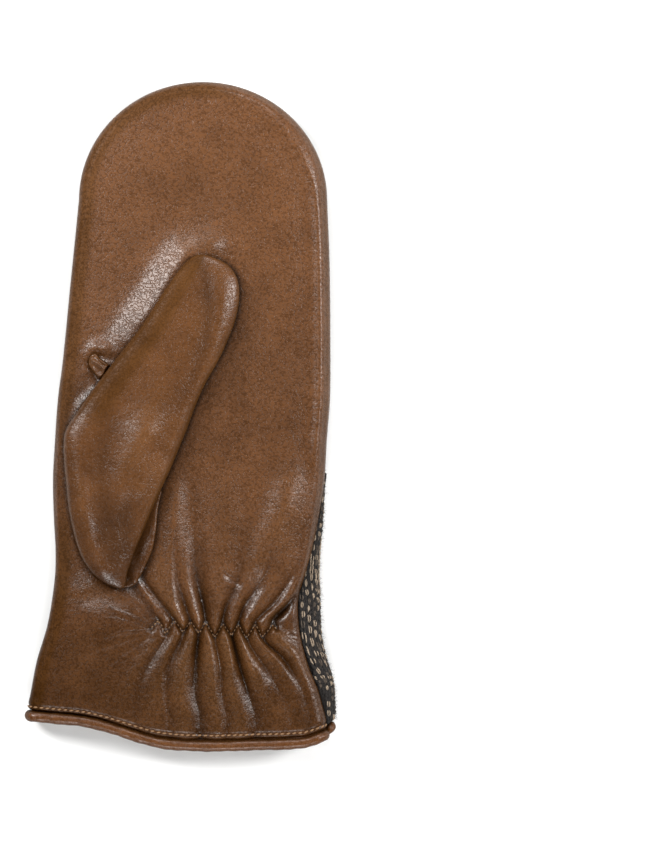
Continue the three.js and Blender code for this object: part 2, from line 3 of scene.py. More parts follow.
import bpy
import numpy as np
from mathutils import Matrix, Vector


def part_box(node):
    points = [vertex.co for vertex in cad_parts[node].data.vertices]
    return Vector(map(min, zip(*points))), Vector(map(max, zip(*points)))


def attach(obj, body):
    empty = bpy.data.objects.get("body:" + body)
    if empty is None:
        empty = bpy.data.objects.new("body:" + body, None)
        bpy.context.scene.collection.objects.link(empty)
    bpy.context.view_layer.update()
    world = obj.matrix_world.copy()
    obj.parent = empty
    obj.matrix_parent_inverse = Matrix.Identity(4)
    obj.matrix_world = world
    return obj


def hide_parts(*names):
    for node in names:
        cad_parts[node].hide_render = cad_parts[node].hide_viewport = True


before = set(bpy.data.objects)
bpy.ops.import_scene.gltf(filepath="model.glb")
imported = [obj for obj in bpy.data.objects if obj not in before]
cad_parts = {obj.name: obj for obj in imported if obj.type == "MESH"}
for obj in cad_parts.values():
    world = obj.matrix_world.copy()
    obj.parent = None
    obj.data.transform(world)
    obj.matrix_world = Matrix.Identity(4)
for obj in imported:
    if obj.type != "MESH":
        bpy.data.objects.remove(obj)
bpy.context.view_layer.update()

# Shapes are worked out in millimetres on the mitten's own axes: across is measured from its middle
# line, along from the left corner of the hem. toWorld() turns them into the frame's metres.
mm = 0.001
mitten = {
    "bodyLength": 250.8,
    "handWidth": 102.0,
    "hemDrop": 12.0,
    "seamHeight": 7.0,
    "loft": 14.0,
    "tipDepth": 47.2,
    "leftRoll": 5.0,
    "rightRoll": 4.6,
    "leftPower": 3.2,  # how square the left side turns down, from 2 for an ellipse
    "rightPower": 2.3,
    "backRoll": 6.0,
    "gatherAlong": 32.0,
    "leatherWall": 1.3,
    "knitWall": 2.6,
    "gap": 0.3,
}
bodyLength, handWidth = mitten["bodyLength"], mitten["handWidth"]
loft, seamHeight = mitten["loft"], mitten["seamHeight"]
gatherAlong, gap = mitten["gatherAlong"], mitten["gap"]
tipAlong = bodyLength - mitten["tipDepth"]
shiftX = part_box("back_panel")[1].x / mm - 0.522 * handWidth
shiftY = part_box("palm_panel")[1].y / mm - bodyLength

# The photograph's scale, and where the middle line and the hem's left corner lie in it
photo = {"height": 846, "mmPerPixel": 0.4, "middleX": 203, "cornerY": 709}

outline = {
    "along": [-7.5, 0, 11.5, 19.6, 27.6, 33.6, 43.6, 53.7, 63.7, 75.5, 91.5, 107.6, 123.6, 139.7, 171.5,
              187.6, 203.6],
    "left": [-0.69, -0.686, -0.667, -0.651, -0.627, -0.61, -0.592, -0.58, -0.578, -0.584, -0.588, -0.58,
             -0.569, -0.549, -0.518, -0.502, -0.486],
    "leather": [0.482, 0.486, 0.455, 0.416, 0.388, 0.376, 0.374, 0.4, 0.427, 0.451, 0.476, 0.486, 0.498,
                0.5, 0.498, 0.494, 0.487],
    "knit": [0.522, 0.522, 0.514, 0.49, 0.471, 0.465, 0.463, 0.459, 0.463, 0.474, 0.481, 0.487, 0.498,
             0.5, 0.498, 0.494, 0.487],
}
heights = {
    "along": [-7.5, 0, 15, 32.1, 47.7, 63.7, 91.5, 123.6, 163, 203.6],
    "shoulder": [0.5, 0.52, 0.58, 0.58, 0.66, 0.74, 0.8, 0.82, 0.82, 0.8],
    "crown": [0.6, 0.64, 0.72, 0.72, 0.8, 0.9, 0.97, 1, 1, 0.96],
    "rise": [0.16, 0.2, 0.32, 0.4, 0.38, 0.26, 0.03, 0, 0, 0],
    "spine": [0.112, 0.102, 0.08, 0.048, 0.03, 0.018, 0.006, 0, 0, 0],
}
hem = {
    "across": [0, 0.105, 0.176, 0.24, 0.307, 0.378, 0.445, 0.509, 0.62, 0.734, 0.919, 0.976, 1],
    "palm": [0, 0.1, 0.167, 0.3, 0.5, 0.733, 0.9, 0.967, 1, 0.967, 0.9, 0.733, 0.633],
    "back": [0, 0.08, 0.14, 0.25, 0.44, 0.66, 0.8, 0.86, 0.87, 0.84, 0.68, 0.5, 0.38],
}


# Small tools

def sample(table, at, column, key="along"):
    x = np.asarray(table[key], float)
    y = np.asarray(table[column], float)
    slope = np.gradient(y, x)
    slope[1:-1] = (y[2:] - y[:-2]) / (x[2:] - x[:-2])
    at = np.clip(np.asarray(at, float), x[0], x[-1])
    i = np.clip(np.searchsorted(x, at, side="right") - 1, 0, len(x) - 2)
    span = x[i + 1] - x[i]
    t = (at - x[i]) / span
    a = (2 * t**3 - 3 * t**2 + 1) * y[i] + (t**3 - 2 * t**2 + t) * span * slope[i]
    return a + (3 * t**2 - 2 * t**3) * y[i + 1] + (t**3 - t**2) * span * slope[i + 1]


def mix(a, b, t):
    return a + (b - a) * t


def smooth(t):
    t = np.clip(t, 0, 1)
    return t * t * (3 - 2 * t)


def bell(x, width):
    return np.exp(-((x / width) ** 2))


def turnIn(t, power=2.0):
    return (1 - (1 - np.clip(t, 0, 1)) ** power) ** (1 / power)


def edgeAt(along, column):
    return sample(outline, along, column) * handWidth


def around(sides):
    return (np.arange(sides) / sides * 2 * math.pi)[None, :]


def lengthAlong(points):
    return np.concatenate([[0], np.cumsum(np.linalg.norm(np.diff(points, axis=0), axis=1))])


def acrossRows(grid, row=0):
    # one line from the left edge over the middle to the right edge
    return np.concatenate([grid[row], grid[len(grid) - 1 - row][::-1][1:]])


def unit(v):
    return v / np.maximum(np.linalg.norm(v, axis=-1, keepdims=True), 1e-9)


def fromPhoto(x, y):
    across = (np.asarray(x, float) - photo["middleX"]) * photo["mmPerPixel"]
    return across, (photo["cornerY"] - np.asarray(y, float)) * photo["mmPerPixel"]


def toWorld(points):
    return (points + np.array([shiftX, shiftY, 0.0])) * mm


def toLinear(hexColour):
    channels = [int(hexColour[i:i + 2], 16) / 255 for i in (1, 3, 5)]
    return tuple(c / 12.92 if c <= 0.04045 else ((c + 0.055) / 1.055) ** 2.4 for c in channels) + (1.0,)


def turnedOutwards(points, faces):
    volume = 0
    for size in set(map(len, faces)):
        group = np.array([face for face in faces if len(face) == size])
        for k in range(1, size - 1):
            corner, second, third = points[group[:, 0]], points[group[:, k]], points[group[:, k + 1]]
            volume += (corner * np.cross(second, third)).sum()
    return faces if volume > 0 else [face[::-1] for face in faces]


turnedDown = {"from": 0.82, "over": 0.45}  # how upright a normal is where the sides start to look dull


# this value runs from rubbed lighter (to 1) to painted shade (to -1) at each point of the leather, and
# on the tuck it also paints light; dull is how little each point shines, and it also tints the colour
# as painted reflection
def makeMesh(name, points, faces, material, node, wearAndShading=None, dull=0):
    mesh = bpy.data.meshes.new(name)
    mesh.from_pydata(toWorld(points).tolist(), [], turnedOutwards(points, faces))
    mesh.validate()
    mesh.polygons.foreach_set("use_smooth", [True] * len(mesh.polygons))
    if wearAndShading is not None:
        facing = np.empty(len(points) * 3, np.float32)
        mesh.vertices.foreach_get("normal", facing)
        steep = np.clip((turnedDown["from"] - facing[2::3]) / turnedDown["over"], 0, 1)
        layers = {"wearAndShading": wearAndShading, "shade": lengthToneAt(points), "steep": np.maximum(steep, dull)}
        for layer, values in layers.items():
            data = mesh.attributes.new(layer, "FLOAT", "POINT").data
            data.foreach_set("value", np.asarray(values, np.float32).ravel())
    mesh.materials.append(material)
    print(name, sum(len(face) - 2 for face in faces), "triangles")
    piece = bpy.data.objects.new(name, mesh)
    bpy.context.scene.collection.objects.link(piece)
    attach(piece, "root")
    if node:
        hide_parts(node)
    return piece


# Materials

def newMaterial(name):
    material = bpy.data.materials.new(name)
    material.use_nodes = True
    tree = material.node_tree
    tree.nodes.clear()

    # adds a node with its settings and links, and gives one of its outputs
    def addNode(kind, inputs=None, output=0, **settings):
        node = tree.nodes.new("ShaderNode" + kind)
        for key, value in settings.items():
            setattr(node, key, value)
        for key, value in (inputs or {}).items():
            if isinstance(value, bpy.types.NodeSocket):
                tree.links.new(value, node.inputs[key])
            else:
                node.inputs[key].default_value = value
        return node.outputs[output] if node.outputs else None

    place = addNode("TexCoord", output="Object")
    inMm = addNode("VectorMath", {0: place, 1: (1000, 1000, 1000)}, operation="MULTIPLY")
    return material, addNode, inMm


noiseSpan = {"From Min": 0.3, "From Max": 0.7}  # nearly all of a noise's values lie in here


# Hairsheep leather, tanned, dyed through and plated smooth: fine winding creases and pores that break
# its gloss into sparkles, and a colour that is darker towards the cuff and lighter where the folds rub.
# Painted shade darkens its valleys and creases, and its dull sides take a cooler, slightly darker tint
# as painted reflection.
# grain is how strongly the creases show, and a stretched skin shows less of them.
def hairsheepLeather(name, light, dark, rubbedAndLit, shadeColour, roughness, grain):
    look = {
        "winding": 0.85,  # mm between the winding creases of the grain
        "windingNoise": 1.6,  # a noise this much coarser crosses its middle as often
        "windingWide": 0.09,
        "windingTone": 0.72,  # how dark they are, how light the skin between them
        "skinTone": 1.08,
        "windingGloss": 0.4,  # the share of the gloss that they keep
        "pore": 0.55,  # mm between pores
        "poreTone": 0.16,
        "crease": 2.6,  # mm between the longer creases
        "creaseTurn": 0.35,  # radians off the mitten's length
        "creaseStretch": (0.5, 1.0, 0.5),
        "blotch": 17,  # mm, the dye's uneven patches
        "blotchTone": 0.25,
        "rubbedAndLitShare": 0.3,
        "shadeShare": 0.8,
        "windingDepth": 0.036,  # mm
        "poreDepth": 0.012,
        "creaseDepth": 0.15,
        "roughnessSpread": 0.05,
        "gloss": 0.44,
        "sideGloss": 0.02,  # the turned down sides are dull, and their colour is tinted cooler and a little darker as painted reflection and painted shade
        "paintedSideTint": "#ecf5fc",
    }
    material, addNode, inMm = newMaterial(name)
    layers = ("wearAndShading", "shade", "steep")
    wearAndShading, shade, steep = [addNode("Attribute", output="Fac", attribute_name=name) for name in layers]

    # the colour: uneven dye patches, a tone set along the length, lighter where raised folds rub,
    # painted light on the tuck's rim, and painted shade in valleys, creases and where parts meet
    blotch = addNode("TexNoise", {"Vector": inMm, "Scale": 1 / look["blotch"], "Detail": 5.0,
        "Roughness": 0.6})
    patch = addNode("MapRange", {"Value": blotch, **noiseSpan, "To Min": -look["blotchTone"],
        "To Max": look["blotchTone"]})
    toneAt = addNode("Math", {0: shade, 1: patch}, operation="ADD", use_clamp=True)
    ridge = addNode("MapRange", {"Value": wearAndShading, "To Max": look["rubbedAndLitShare"]})
    valley = addNode("MapRange", {"Value": wearAndShading, "From Max": -1.0, "To Max": look["shadeShare"]})
    toned = toLinear(dark)
    for share, colour in ((toneAt, light), (ridge, rubbedAndLit), (valley, shadeColour)):
        toned = addNode("Mix", {0: share, 6: toned, 7: toLinear(colour)}, 2, data_type="RGBA")

    # the grain: winding creases run where a soft noise crosses its middle value
    noiseWide = look["windingNoise"] * look["winding"]
    winding = addNode("TexNoise", {"Vector": inMm, "Scale": 1 / noiseWide, "Detail": 1.5,
        "Roughness": 0.5, "Distortion": 0.4})
    fromMiddle = addNode("Math", {0: winding, 1: 0.5}, operation="SUBTRACT")
    crossing = addNode("Math", {0: fromMiddle}, operation="ABSOLUTE")
    flat = addNode("MapRange", {"Value": crossing, "From Max": look["windingWide"]},
        interpolation_type="SMOOTHSTEP")
    slanted = addNode("Mapping", {"Vector": inMm, "Rotation": (0, 0, look["creaseTurn"]),
        "Scale": look["creaseStretch"]})
    creases = addNode("TexNoise", {"Vector": slanted, "Scale": 1 / look["crease"], "Detail": 2.0,
        "Roughness": 0.5, "Distortion": 0.6})
    pores = addNode("TexNoise", {"Vector": inMm, "Scale": 1 / look["pore"], "Detail": 1.0})
    windingTone = addNode("MapRange", {"Value": flat, "To Min": 1 - (1 - look["windingTone"]) * grain,
        "To Max": look["skinTone"]})
    poreTone = addNode("MapRange", {"Value": pores, **noiseSpan, "To Min": 1 - look["poreTone"],
        "To Max": 1 + look["poreTone"]})
    # painted reflection and painted shade: the steep and dull places are tinted cooler and a little
    # darker
    paintedSideTint = addNode("Mix", {0: steep, 6: (1, 1, 1, 1), 7: toLinear(look["paintedSideTint"])}, 2,
        data_type="RGBA")
    for tone in (windingTone, poreTone, paintedSideTint):
        toned = addNode("Mix", {0: 1.0, 6: toned, 7: tone}, 2, data_type="RGBA", blend_type="MULTIPLY")
    above = {}
    for height, depth in ((flat, "windingDepth"), (pores, "poreDepth"), (creases, "creaseDepth")):
        bump = addNode("Bump", {"Height": height, "Distance": look[depth] * mm, "Strength": 1.0,
            **above})
        above = {"Normal": bump}

    # the gloss
    rough = addNode("MapRange", {"Value": pores, **noiseSpan,
        "To Min": roughness + look["roughnessSpread"], "To Max": roughness - look["roughnessSpread"]})
    gloss = addNode("MapRange", {"Value": steep, "To Min": look["gloss"], "To Max": look["sideGloss"]})
    broken = addNode("MapRange", {"Value": flat, "To Min": look["windingGloss"]})
    shine = addNode("Math", {0: gloss, 1: broken}, operation="MULTIPLY")
    shader = addNode("BsdfPrincipled", {"Base Color": toned, "Roughness": rough, "IOR": 1.5,
        "Specular IOR Level": shine, **above})
    addNode("OutputMaterial", {"Surface": shader})
    return material


# Spun yarn: noise as wide as its plies, in its colour and its bump
def spunYarn(name, light, dark, look):
    material, addNode, inMm = newMaterial(name)
    plies = addNode("TexNoise", {"Vector": inMm, "Scale": 1 / look["ply"], "Detail": look["detail"],
        "Roughness": look["fine"]})
    spread = addNode("MapRange", {"Value": plies, "From Min": look["dark"], "From Max": look["light"]})
    tone = addNode("Mix", {0: spread, 6: toLinear(dark), 7: toLinear(light)}, 2, data_type="RGBA")
    bump = addNode("Bump", {"Height": plies, "Strength": look["strength"],
        "Distance": look["depth"] * mm})
    shader = addNode("BsdfPrincipled", {"Base Color": tone, "Normal": bump,
        "Roughness": look["roughness"], "Sheen Weight": look["sheen"]})
    addNode("OutputMaterial", {"Surface": shader})
    return material


# Worsted wool, spun and knitted: matt, with a halo of loose fibres that the sheen stands for
worsted = {"ply": 0.5, "detail": 4.0, "fine": 0.7, "dark": 0.35, "light": 0.65, "strength": 0.8,
    "depth": 0.3, "roughness": 0.92, "sheen": 0.02}
# Polyester topstitch thread, twisted and waxed: a soft shine along each stitch
waxedThread = {"ply": 0.3, "detail": 2.0, "fine": 0.5, "dark": 0, "light": 1, "strength": 0.6,
    "depth": 0.2, "roughness": 0.5, "sheen": 0}
rubbedAndLit, shadeColour = "#7a5331", "#140801"
palmLeather = hairsheepLeather("palmLeather", "#603d22", "#351c05", rubbedAndLit, shadeColour, 0.285, 1.2)
thumbLeather = hairsheepLeather("thumbLeather", "#5c391c", "#2f1702", rubbedAndLit, shadeColour, 0.285, 0.5)
bindingLeather = hairsheepLeather("bindingLeather", "#69411f", "#4c2b0f", rubbedAndLit, shadeColour, 0.3, 0.8)
charcoalWool = spunYarn("charcoalWool", "#221c18", "#0a0705", worsted)
creamWool = spunYarn("creamWool", "#a99782", "#6b5a4a", worsted)
ashWool = spunYarn("ashWool", "#5b4e42", "#2f2822", worsted)
stitchThread = spunYarn("topstitchThread", "#94704b", "#5f4127", waxedThread)
print("materials made")


# The gather: lines run along its ridges and valleys and cross the zigzag of stitches, at its upper
# corners for p0 to p7 and at its lower ones for q0 to q6. Each list gives a line's x in the
# photograph at the heights y. Below the stitches the p lines are ridges, above them the q lines.
pleatLines = {
    "y": [560, 580, 595, 605, 615, 622, 632, 642, 655, 670, 690, 715],
    "p0": [118, 131, 142, 149, 156, 160, 163, 158, 148, 138, 130, 122],
    "q0": [130, 138, 149, 156, 163, 166, 167.5, 162, 153, 145, 138, 135],
    "p1": [138, 144, 156, 164, 171, 175, 178, 174, 168, 163, 160, 160],
    "q1": [160, 163, 170, 174, 180, 182.5, 183.5, 180, 173, 168, 167, 170],
    "p2": [176, 179, 183, 186, 189, 191, 192, 190.5, 187, 182.5, 180.5, 187],
    "q2": [186, 188, 192, 194, 197, 198.5, 199, 198, 196.5, 196, 195.5, 201],
    "p3": [195, 198, 201, 203.5, 205.5, 206, 207.5, 209.5, 210.5, 212, 213.5, 218],
    "q3": [220, 219, 217, 216, 215.5, 215, 215, 216, 219, 221.5, 222, 227],
    "p4": [243, 238, 232, 227, 224, 223, 225.5, 227.5, 230, 231.5, 234, 241.5],
    "q4": [258, 250, 242, 237, 233.5, 232, 232, 234, 237.5, 241.5, 248, 256.5],
    "p5": [272, 262, 252, 245, 241, 239, 240.5, 242.5, 247, 253, 263, 279],
    "q5": [290, 278, 266, 258, 250, 247, 247, 249, 257, 268, 280, 291],
    "p6": [302, 290, 280, 272, 261, 255.5, 257, 261, 272, 284, 292, 300],
    "q6": [312, 299, 288, 280, 269, 264, 263, 266, 281, 292, 303, 310],
    "p7": [322, 307, 296, 288, 277, 273, 277, 284, 297, 304, 314.5, 323],
}
pleatNames = [name for name in pleatLines if name != "y"]
pleatHeights = {
    "below": [0.5, -0.8, 1.1, -1.1, 1.8, -2.5, 1.8, -0.9, 2.0, -2.6, 1.8, -1.2, 1.1, -1.7, 1.7],
    "above": [-0.8, 0.6, -1.4, 2.1, -1.9, 1.3, -2.3, 1.1, -1.7, 1.0, -1.8, 1.1, -1.3, 1.0, -1.8],
}
# They fade out with their distance from the stitches in millimetres, sooner below them at the right
pleatFade = {
    "beyond": [-46, -36, -26, -18, -9, -3, -1.4, 0, 1.4, 3, 9, 16, 24, 32, 40],
    "share": [0.3, 0.42, 0.6, 0.8, 1, 1, 0.75, 0, 0.75, 1, 0.95, 0.7, 0.4, 0.15, 0],
    "rightX": 238,  # pixels
    "rightWide": 36,
    "rightFrom": 12,  # mm
    "rightOver": 14,
    "rightLoss": 0.7,
    "outside": 14,  # pixels, beyond the first and the last line
    "round": 0.85,
}
gatherLine = {
    "x": [151, 159, 166, 175, 183.7, 191, 199.5, 206, 215.2, 223.4, 231.6, 238.7, 246.6, 255.5, 262.3,
          273.3, 276.7],
    "y": [628.5, 619.6, 633, 619.6, 632, 621, 632.6, 622, 636.7, 623, 634.7, 623.7, 637.4, 623.7, 636.7,
          624.4, 628.5],
    "dip": 1.5,  # how far the stitches pull the leather down, and how wide
    "dipWidth": 1.0,
}


def gridColumn(count, flat, spacing):
    t = np.linspace(0, 1, count + 1)[None, :]
    a = np.clip(spacing * count / flat, 0, 1)
    return flat * (a * t + (1 - a) * t * t)


def palmCrown(along, off, reach, roll, right, power):
    shoulder = sample(heights, along, "shoulder") * loft
    crown = sample(heights, along, "crown") * loft
    rim = np.where(right, np.minimum(sample(heights, along, "rise") * loft, shoulder), 0)
    z = seamHeight + rim + (shoulder - rim) * turnIn((reach - off) / roll, power)
    return z + (crown - shoulder) * (1 - (off / reach) ** 2)


# Dents, folds and creases, each a line through points of the photograph: its half width in
# millimetres, the points' x and y in pixels, and its height at each of them in millimetres.
palmFolds = [
    # the valley beside the thumb, down into the gather, and the ridge between the two
    (3.8, [192, 193, 196, 199, 205], [455, 490, 540, 580, 612], [0, -0.9, -1.5, -1.5, -0.6]),
    (3.2, [178, 175, 172, 174, 180], [470, 505, 550, 580, 606], [0.2, 1.0, 1.3, 1.3, 0.6]),
    # the puffs over the gather
    (6.0, [222, 226, 222], [440, 520, 585], [0, 1.1, 0.8]),
    (6.6, [296, 284, 262], [450, 508, 562], [0.4, 2.5, 1.7]),
    (5.5, [62, 88, 124], [588, 594, 600], [1.0, 1.8, 0.9]),
    # the leather swells along the thumb's edges
    (7.4, [224, 208, 189, 173, 160, 148, 134, 116], [262, 249, 257, 280, 303, 319, 339, 358],
     [0.3, 2.3, 3.3, 3.6, 3.6, 3.4, 2.9, 1.5]),
    (1.9, [99, 82, 72, 68, 70, 76], [388, 406, 432, 470, 515, 552], [0.7, 0.9, 0.7, 1.2, 1.3, 0.6]),
    (3.6, [80, 97, 120], [566, 584, 594], [0.6, 1.3, 0.6]),
    # fine creases that fan out to the left of the gather
    (0.6, [152, 126, 98], [626, 613, 602], [-0.35, -0.3, 0]),
    (0.5, [151, 124, 96], [628, 620, 615], [-0.35, -0.25, 0]),
    (0.6, [150, 122, 90], [630, 632, 641], [-0.35, -0.3, 0]),
    (0.5, [150, 118, 76], [633, 643, 656], [-0.3, -0.25, 0]),
    (0.7, [149, 120, 92], [636, 655, 678], [-0.3, -0.3, 0]),
    (0.5, [117, 137, 150], [585, 604, 622], [0, -0.3, -0.35]),
    # round the tuck
    (1.7, [88, 96, 106, 116], [354, 347, 348, 352], [0.4, 1.1, 1.2, 0.4]),
    (1.0, [112, 98, 91, 93, 100], [359, 356, 361, 371, 383], [-0.6, -1.0, -1.3, -1.3, -0.8]),
    (0.5, [76, 84, 90], [351, 356, 358], [0, 0.4, 0.3]),
    (0.5, [78, 86, 91], [360, 364, 366], [0, 0.4, 0.3]),
    (0.6, [77, 86, 93], [370, 372, 374], [0, 0.35, 0.3]),
    # the fold at the right of the gather, and the creases that fan out from it
    (1.3, [300, 290, 280, 272], [591, 604, 613, 621], [-0.6, -1.2, -1.4, -1.0]),
    (1.5, [297, 296, 297, 300], [594, 610, 628, 645], [0.5, 1.1, 1.0, 0.2]),
    (0.55, [278, 288, 299], [628, 631, 634], [0, 0.4, 0.4]),
    (0.55, [281, 290, 299], [631, 635, 640], [0, 0.4, 0.4]),
    (0.55, [283, 292, 301], [634, 640, 648], [0, 0.4, 0.4]),
    # creases above the gather
    (1.3, [141, 150, 160], [576, 590, 608], [-0.3, -0.9, -0.6]),
    (1.5, [264, 255, 246], [552, 575, 600], [0, -0.6, -0.4]),
    (0.9, [216, 226, 240], [566, 574, 584], [0, -0.4, -0.2]),
    (1.2, [240, 244, 252], [545, 562, 578], [0, 0.4, 0.2]),
    (0.8, [60, 70, 80], [552, 560, 572], [-0.2, -0.5, -0.3]),
    # soft dents of the palm
    (14, [235, 200, 160], [170, 190, 220], [-0.3, -0.6, -0.3]),
    (12, [270, 285, 270], [290, 360, 430], [-0.2, -0.6, -0.3]),
]


def foldHeight(folds, x, along):
    total = np.zeros(np.broadcast(x, along).shape)
    for width, x0, y0, high0 in folds:
        px, py = fromPhoto(x0, y0)
        near = np.full(total.shape, 999.0)
        high = np.zeros(total.shape)
        for i in range(len(px) - 1):
            away, t = distanceTo(px[i], py[i], px[i + 1], py[i + 1], x, along)
            here = mix(high0[i], high0[i + 1], smooth(t))
            high = np.where(away < near, here, high)
            near = np.minimum(near, away)
        total += high * bell(near, width)
    return total


def distanceTo(ax, ay, bx, by, x, along):
    dx, dy = bx - ax, by - ay
    t = np.clip(((x - ax) * dx + (along - ay) * dy) / (dx * dx + dy * dy), 0, 1)
    return np.hypot(x - ax - t * dx, along - ay - t * dy), t


def nearLine(px, py, x, along):
    near = np.full(x.shape, 99.0)
    for i in range(len(px) - 1):
        near = np.minimum(near, distanceTo(px[i], py[i], px[i + 1], py[i + 1], x, along)[0])
    return near


def pleatHeight(x, along):
    px = x / photo["mmPerPixel"] + photo["middleX"]
    py = photo["cornerY"] - along / photo["mmPerPixel"]
    lines = [sample(pleatLines, py, name, "y") for name in pleatNames]
    beyond = (np.interp(px, gatherLine["x"], gatherLine["y"]) - py) * photo["mmPerPixel"]
    below = np.zeros_like(px)
    above = np.zeros_like(px)
    for i in range(len(lines) - 1):
        inside = (px >= lines[i]) & (px < lines[i + 1])
        t = np.clip((px - lines[i]) / np.maximum(lines[i + 1] - lines[i], 0.1), 0, 1)
        for total, side in ((below, "below"), (above, "above")):
            first, last = pleatHeights[side][i], pleatHeights[side][i + 1]
            up = t if first < last else 1 - t
            low, high = min(first, last), max(first, last)
            shape = mix(low, high, np.sin(up * math.pi / 2) ** pleatFade["round"])
            total[inside] = shape[inside]
    ends = ((px < lines[0], 0, lines[0] - px), (px >= lines[-1], -1, px - lines[-1]))
    for outside, i, gone in ends:
        fade = smooth(1 - gone / pleatFade["outside"])
        below[outside] = (pleatHeights["below"][i] * fade)[outside]
        above[outside] = (pleatHeights["above"][i] * fade)[outside]
    folds = np.where(beyond < 0, below, above) * sample(pleatFade, beyond, "share", "beyond")
    low = smooth((-beyond - pleatFade["rightFrom"]) / pleatFade["rightOver"])
    right = smooth((px - pleatFade["rightX"]) / pleatFade["rightWide"])
    folds = folds * (1 - pleatFade["rightLoss"] * right * low)
    near = nearLine(*fromPhoto(gatherLine["x"], gatherLine["y"]), x, along)
    return folds - gatherLine["dip"] * bell(near, gatherLine["dipWidth"])


# The hem: the leather puffs over its stitches, and drops into the crease beside the rolled edge
lip = {
    "stitchLine": 1.15,
    "groove": (0.28, 1.65, 0.4),  # depth, distance from the hem and half width
    "swell": (0.2, 3.2, 1.6),
    "drop": (0.9, 0, 0.45),
}


def lipHeight(along):
    rows = (lip["groove"], lip["swell"], lip["drop"])
    groove, swell, drop = [high * bell(along - at, wide) for high, at, wide in rows]
    return swell - groove - drop


# The ridge that runs inside the right edge, and the shallow hollow beside it
sideRidge = {
    "inset": 4.2, "width": 1.7, "height": 0.85,
    "hollowInset": 9, "hollowWidth": 4.5, "hollow": 0.35,
    "from": 88, "to": 247, "fade": 20,
    "tipInset": 1.8, "tipFrom": 196, "tipFade": 24,  # nearer the edge round the tip
    "rayFrom": 0.5, "rayFade": 0.25,  # turns round the tip, where it begins
}


def ridgeHeight(inset, right, tip, along):
    r = sideRidge
    there = np.where(right, 1, tip) * smooth((along - r["from"]) / r["fade"])
    there = there * smooth((r["to"] - along) / r["fade"])
    inset = inset - r["tipInset"] * smooth((along - r["tipFrom"]) / r["tipFade"])
    ridge = r["height"] * bell(inset - r["inset"], r["width"])
    return there * (ridge - r["hollow"] * bell(inset - r["hollowInset"], r["hollowWidth"]))


# Rows of a grid: up the left side, round the tip as rays of its middle, and down the right side
def rowsRound(alongs, rayCount):
    rays = np.arange(1, rayCount) / rayCount
    side = np.concatenate([-np.ones(len(alongs)), np.zeros(len(rays)), np.ones(len(alongs))])
    along = np.concatenate([alongs, np.full(len(rays), tipAlong), alongs[::-1]])
    ray = np.concatenate([np.zeros(len(alongs)), rays, np.ones(len(alongs))])
    return side[:, None], along[:, None], ray[:, None]


def palmRows():
    alongs = [0.0]
    for upTo, step in zip(palmGrid["upTo"], palmGrid["step"]):
        count = round((upTo - alongs[-1]) / step)
        alongs += list(np.linspace(alongs[-1], upTo, count + 1)[1:])
    return rowsRound(np.array(alongs), palmGrid["rays"])


def bySide(side, left, right, tip):
    return np.where(side < 0, left, np.where(side > 0, right, tip))


def rowEnds(side, along, ray, edge):
    spine = sample(heights, along, "spine") * handWidth
    left, right = edgeAt(along, "left"), edgeAt(along, edge)
    angle = math.pi * (1 - ray)
    tipReach = np.where(ray > 0.5, right, -left)
    edgeX = bySide(side, left, right, spine + tipReach * np.cos(angle))
    edgeAlong = np.where(side == 0, along + mitten["tipDepth"] * np.sin(angle), along)
    return spine, left, right, edgeX, edgeAlong


def hemDrop(x, left, right, column):
    return sample(hem, np.clip((x - left) / (right - left), 0, 1), column, "across") * mitten["hemDrop"]


def hemBend(x, along, left, right, column):
    drop = hemDrop(x, left, right, column)
    return np.where(along < gatherAlong, along - drop * (1 - along / gatherAlong), along)


palmGrid = {
    "upTo": [3, 24, 40, 66, tipAlong],  # rows stand closer at the hem and the gather
    "step": [0.25, 0.65, 0.36, 0.7, 1.4],
    "rays": 92,
    "turned": 11,  # points round the turned side, and over the flat
    "flat": 74,
    "spacing": 0.44,
}


def palmBase(side, along, ray):
    spine, left, right, edgeX, edgeAlong = rowEnds(side, along, ray, "leather")
    reach = np.hypot(edgeX - spine, edgeAlong - along)
    rolls = mitten["leftRoll"], mitten["rightRoll"]
    roll = bySide(side, *rolls, mix(*rolls, ray))
    turn = np.linspace(1, 0, palmGrid["turned"] + 1)[None, :-1] * math.pi / 2
    flats = gridColumn(palmGrid["flat"], reach - roll, palmGrid["spacing"])[:, ::-1]
    off = np.concatenate([reach - roll + roll * np.sin(turn), flats], axis=1)
    x = mix(spine, edgeX, off / reach)
    y = mix(along, edgeAlong, off / reach)
    y = np.where(side == 0, y, hemBend(x, along + 0 * x, left, right, "palm"))
    powers = mitten["leftPower"], mitten["rightPower"]
    power = bySide(side, *powers, mix(*powers, smooth(ray)))
    z = palmCrown(along, off, reach, roll, side > 0, power)
    return np.stack([x, y, z + 0 * x], axis=-1), reach - off


seamFade = {"least": 0.12, "over": 6}  # how the folds and pleats go flat towards the seam


def palmRelief(x, y, inset, right, tip):
    pleated = pleatHeight(x, y)
    relief = foldHeight(palmFolds, x, y) + pleated
    relief = relief * smooth(seamFade["least"] + inset / seamFade["over"])
    return relief + ridgeHeight(inset, right, tip, y), pleated


def palmTop(x, along):
    spine = sample(heights, along, "spine") * handWidth
    right = x > spine
    edge = np.where(right, edgeAt(along, "leather"), edgeAt(along, "left"))
    reach = np.abs(edge - spine)
    off = np.minimum(np.abs(x - spine), reach - 0.02)
    roll = np.where(right, mitten["rightRoll"], mitten["leftRoll"])
    power = np.where(right, mitten["rightPower"], mitten["leftPower"])
    z = palmCrown(along, off, reach, roll, right, power)
    return z + palmRelief(x, along, reach - off, right, 0)[0]


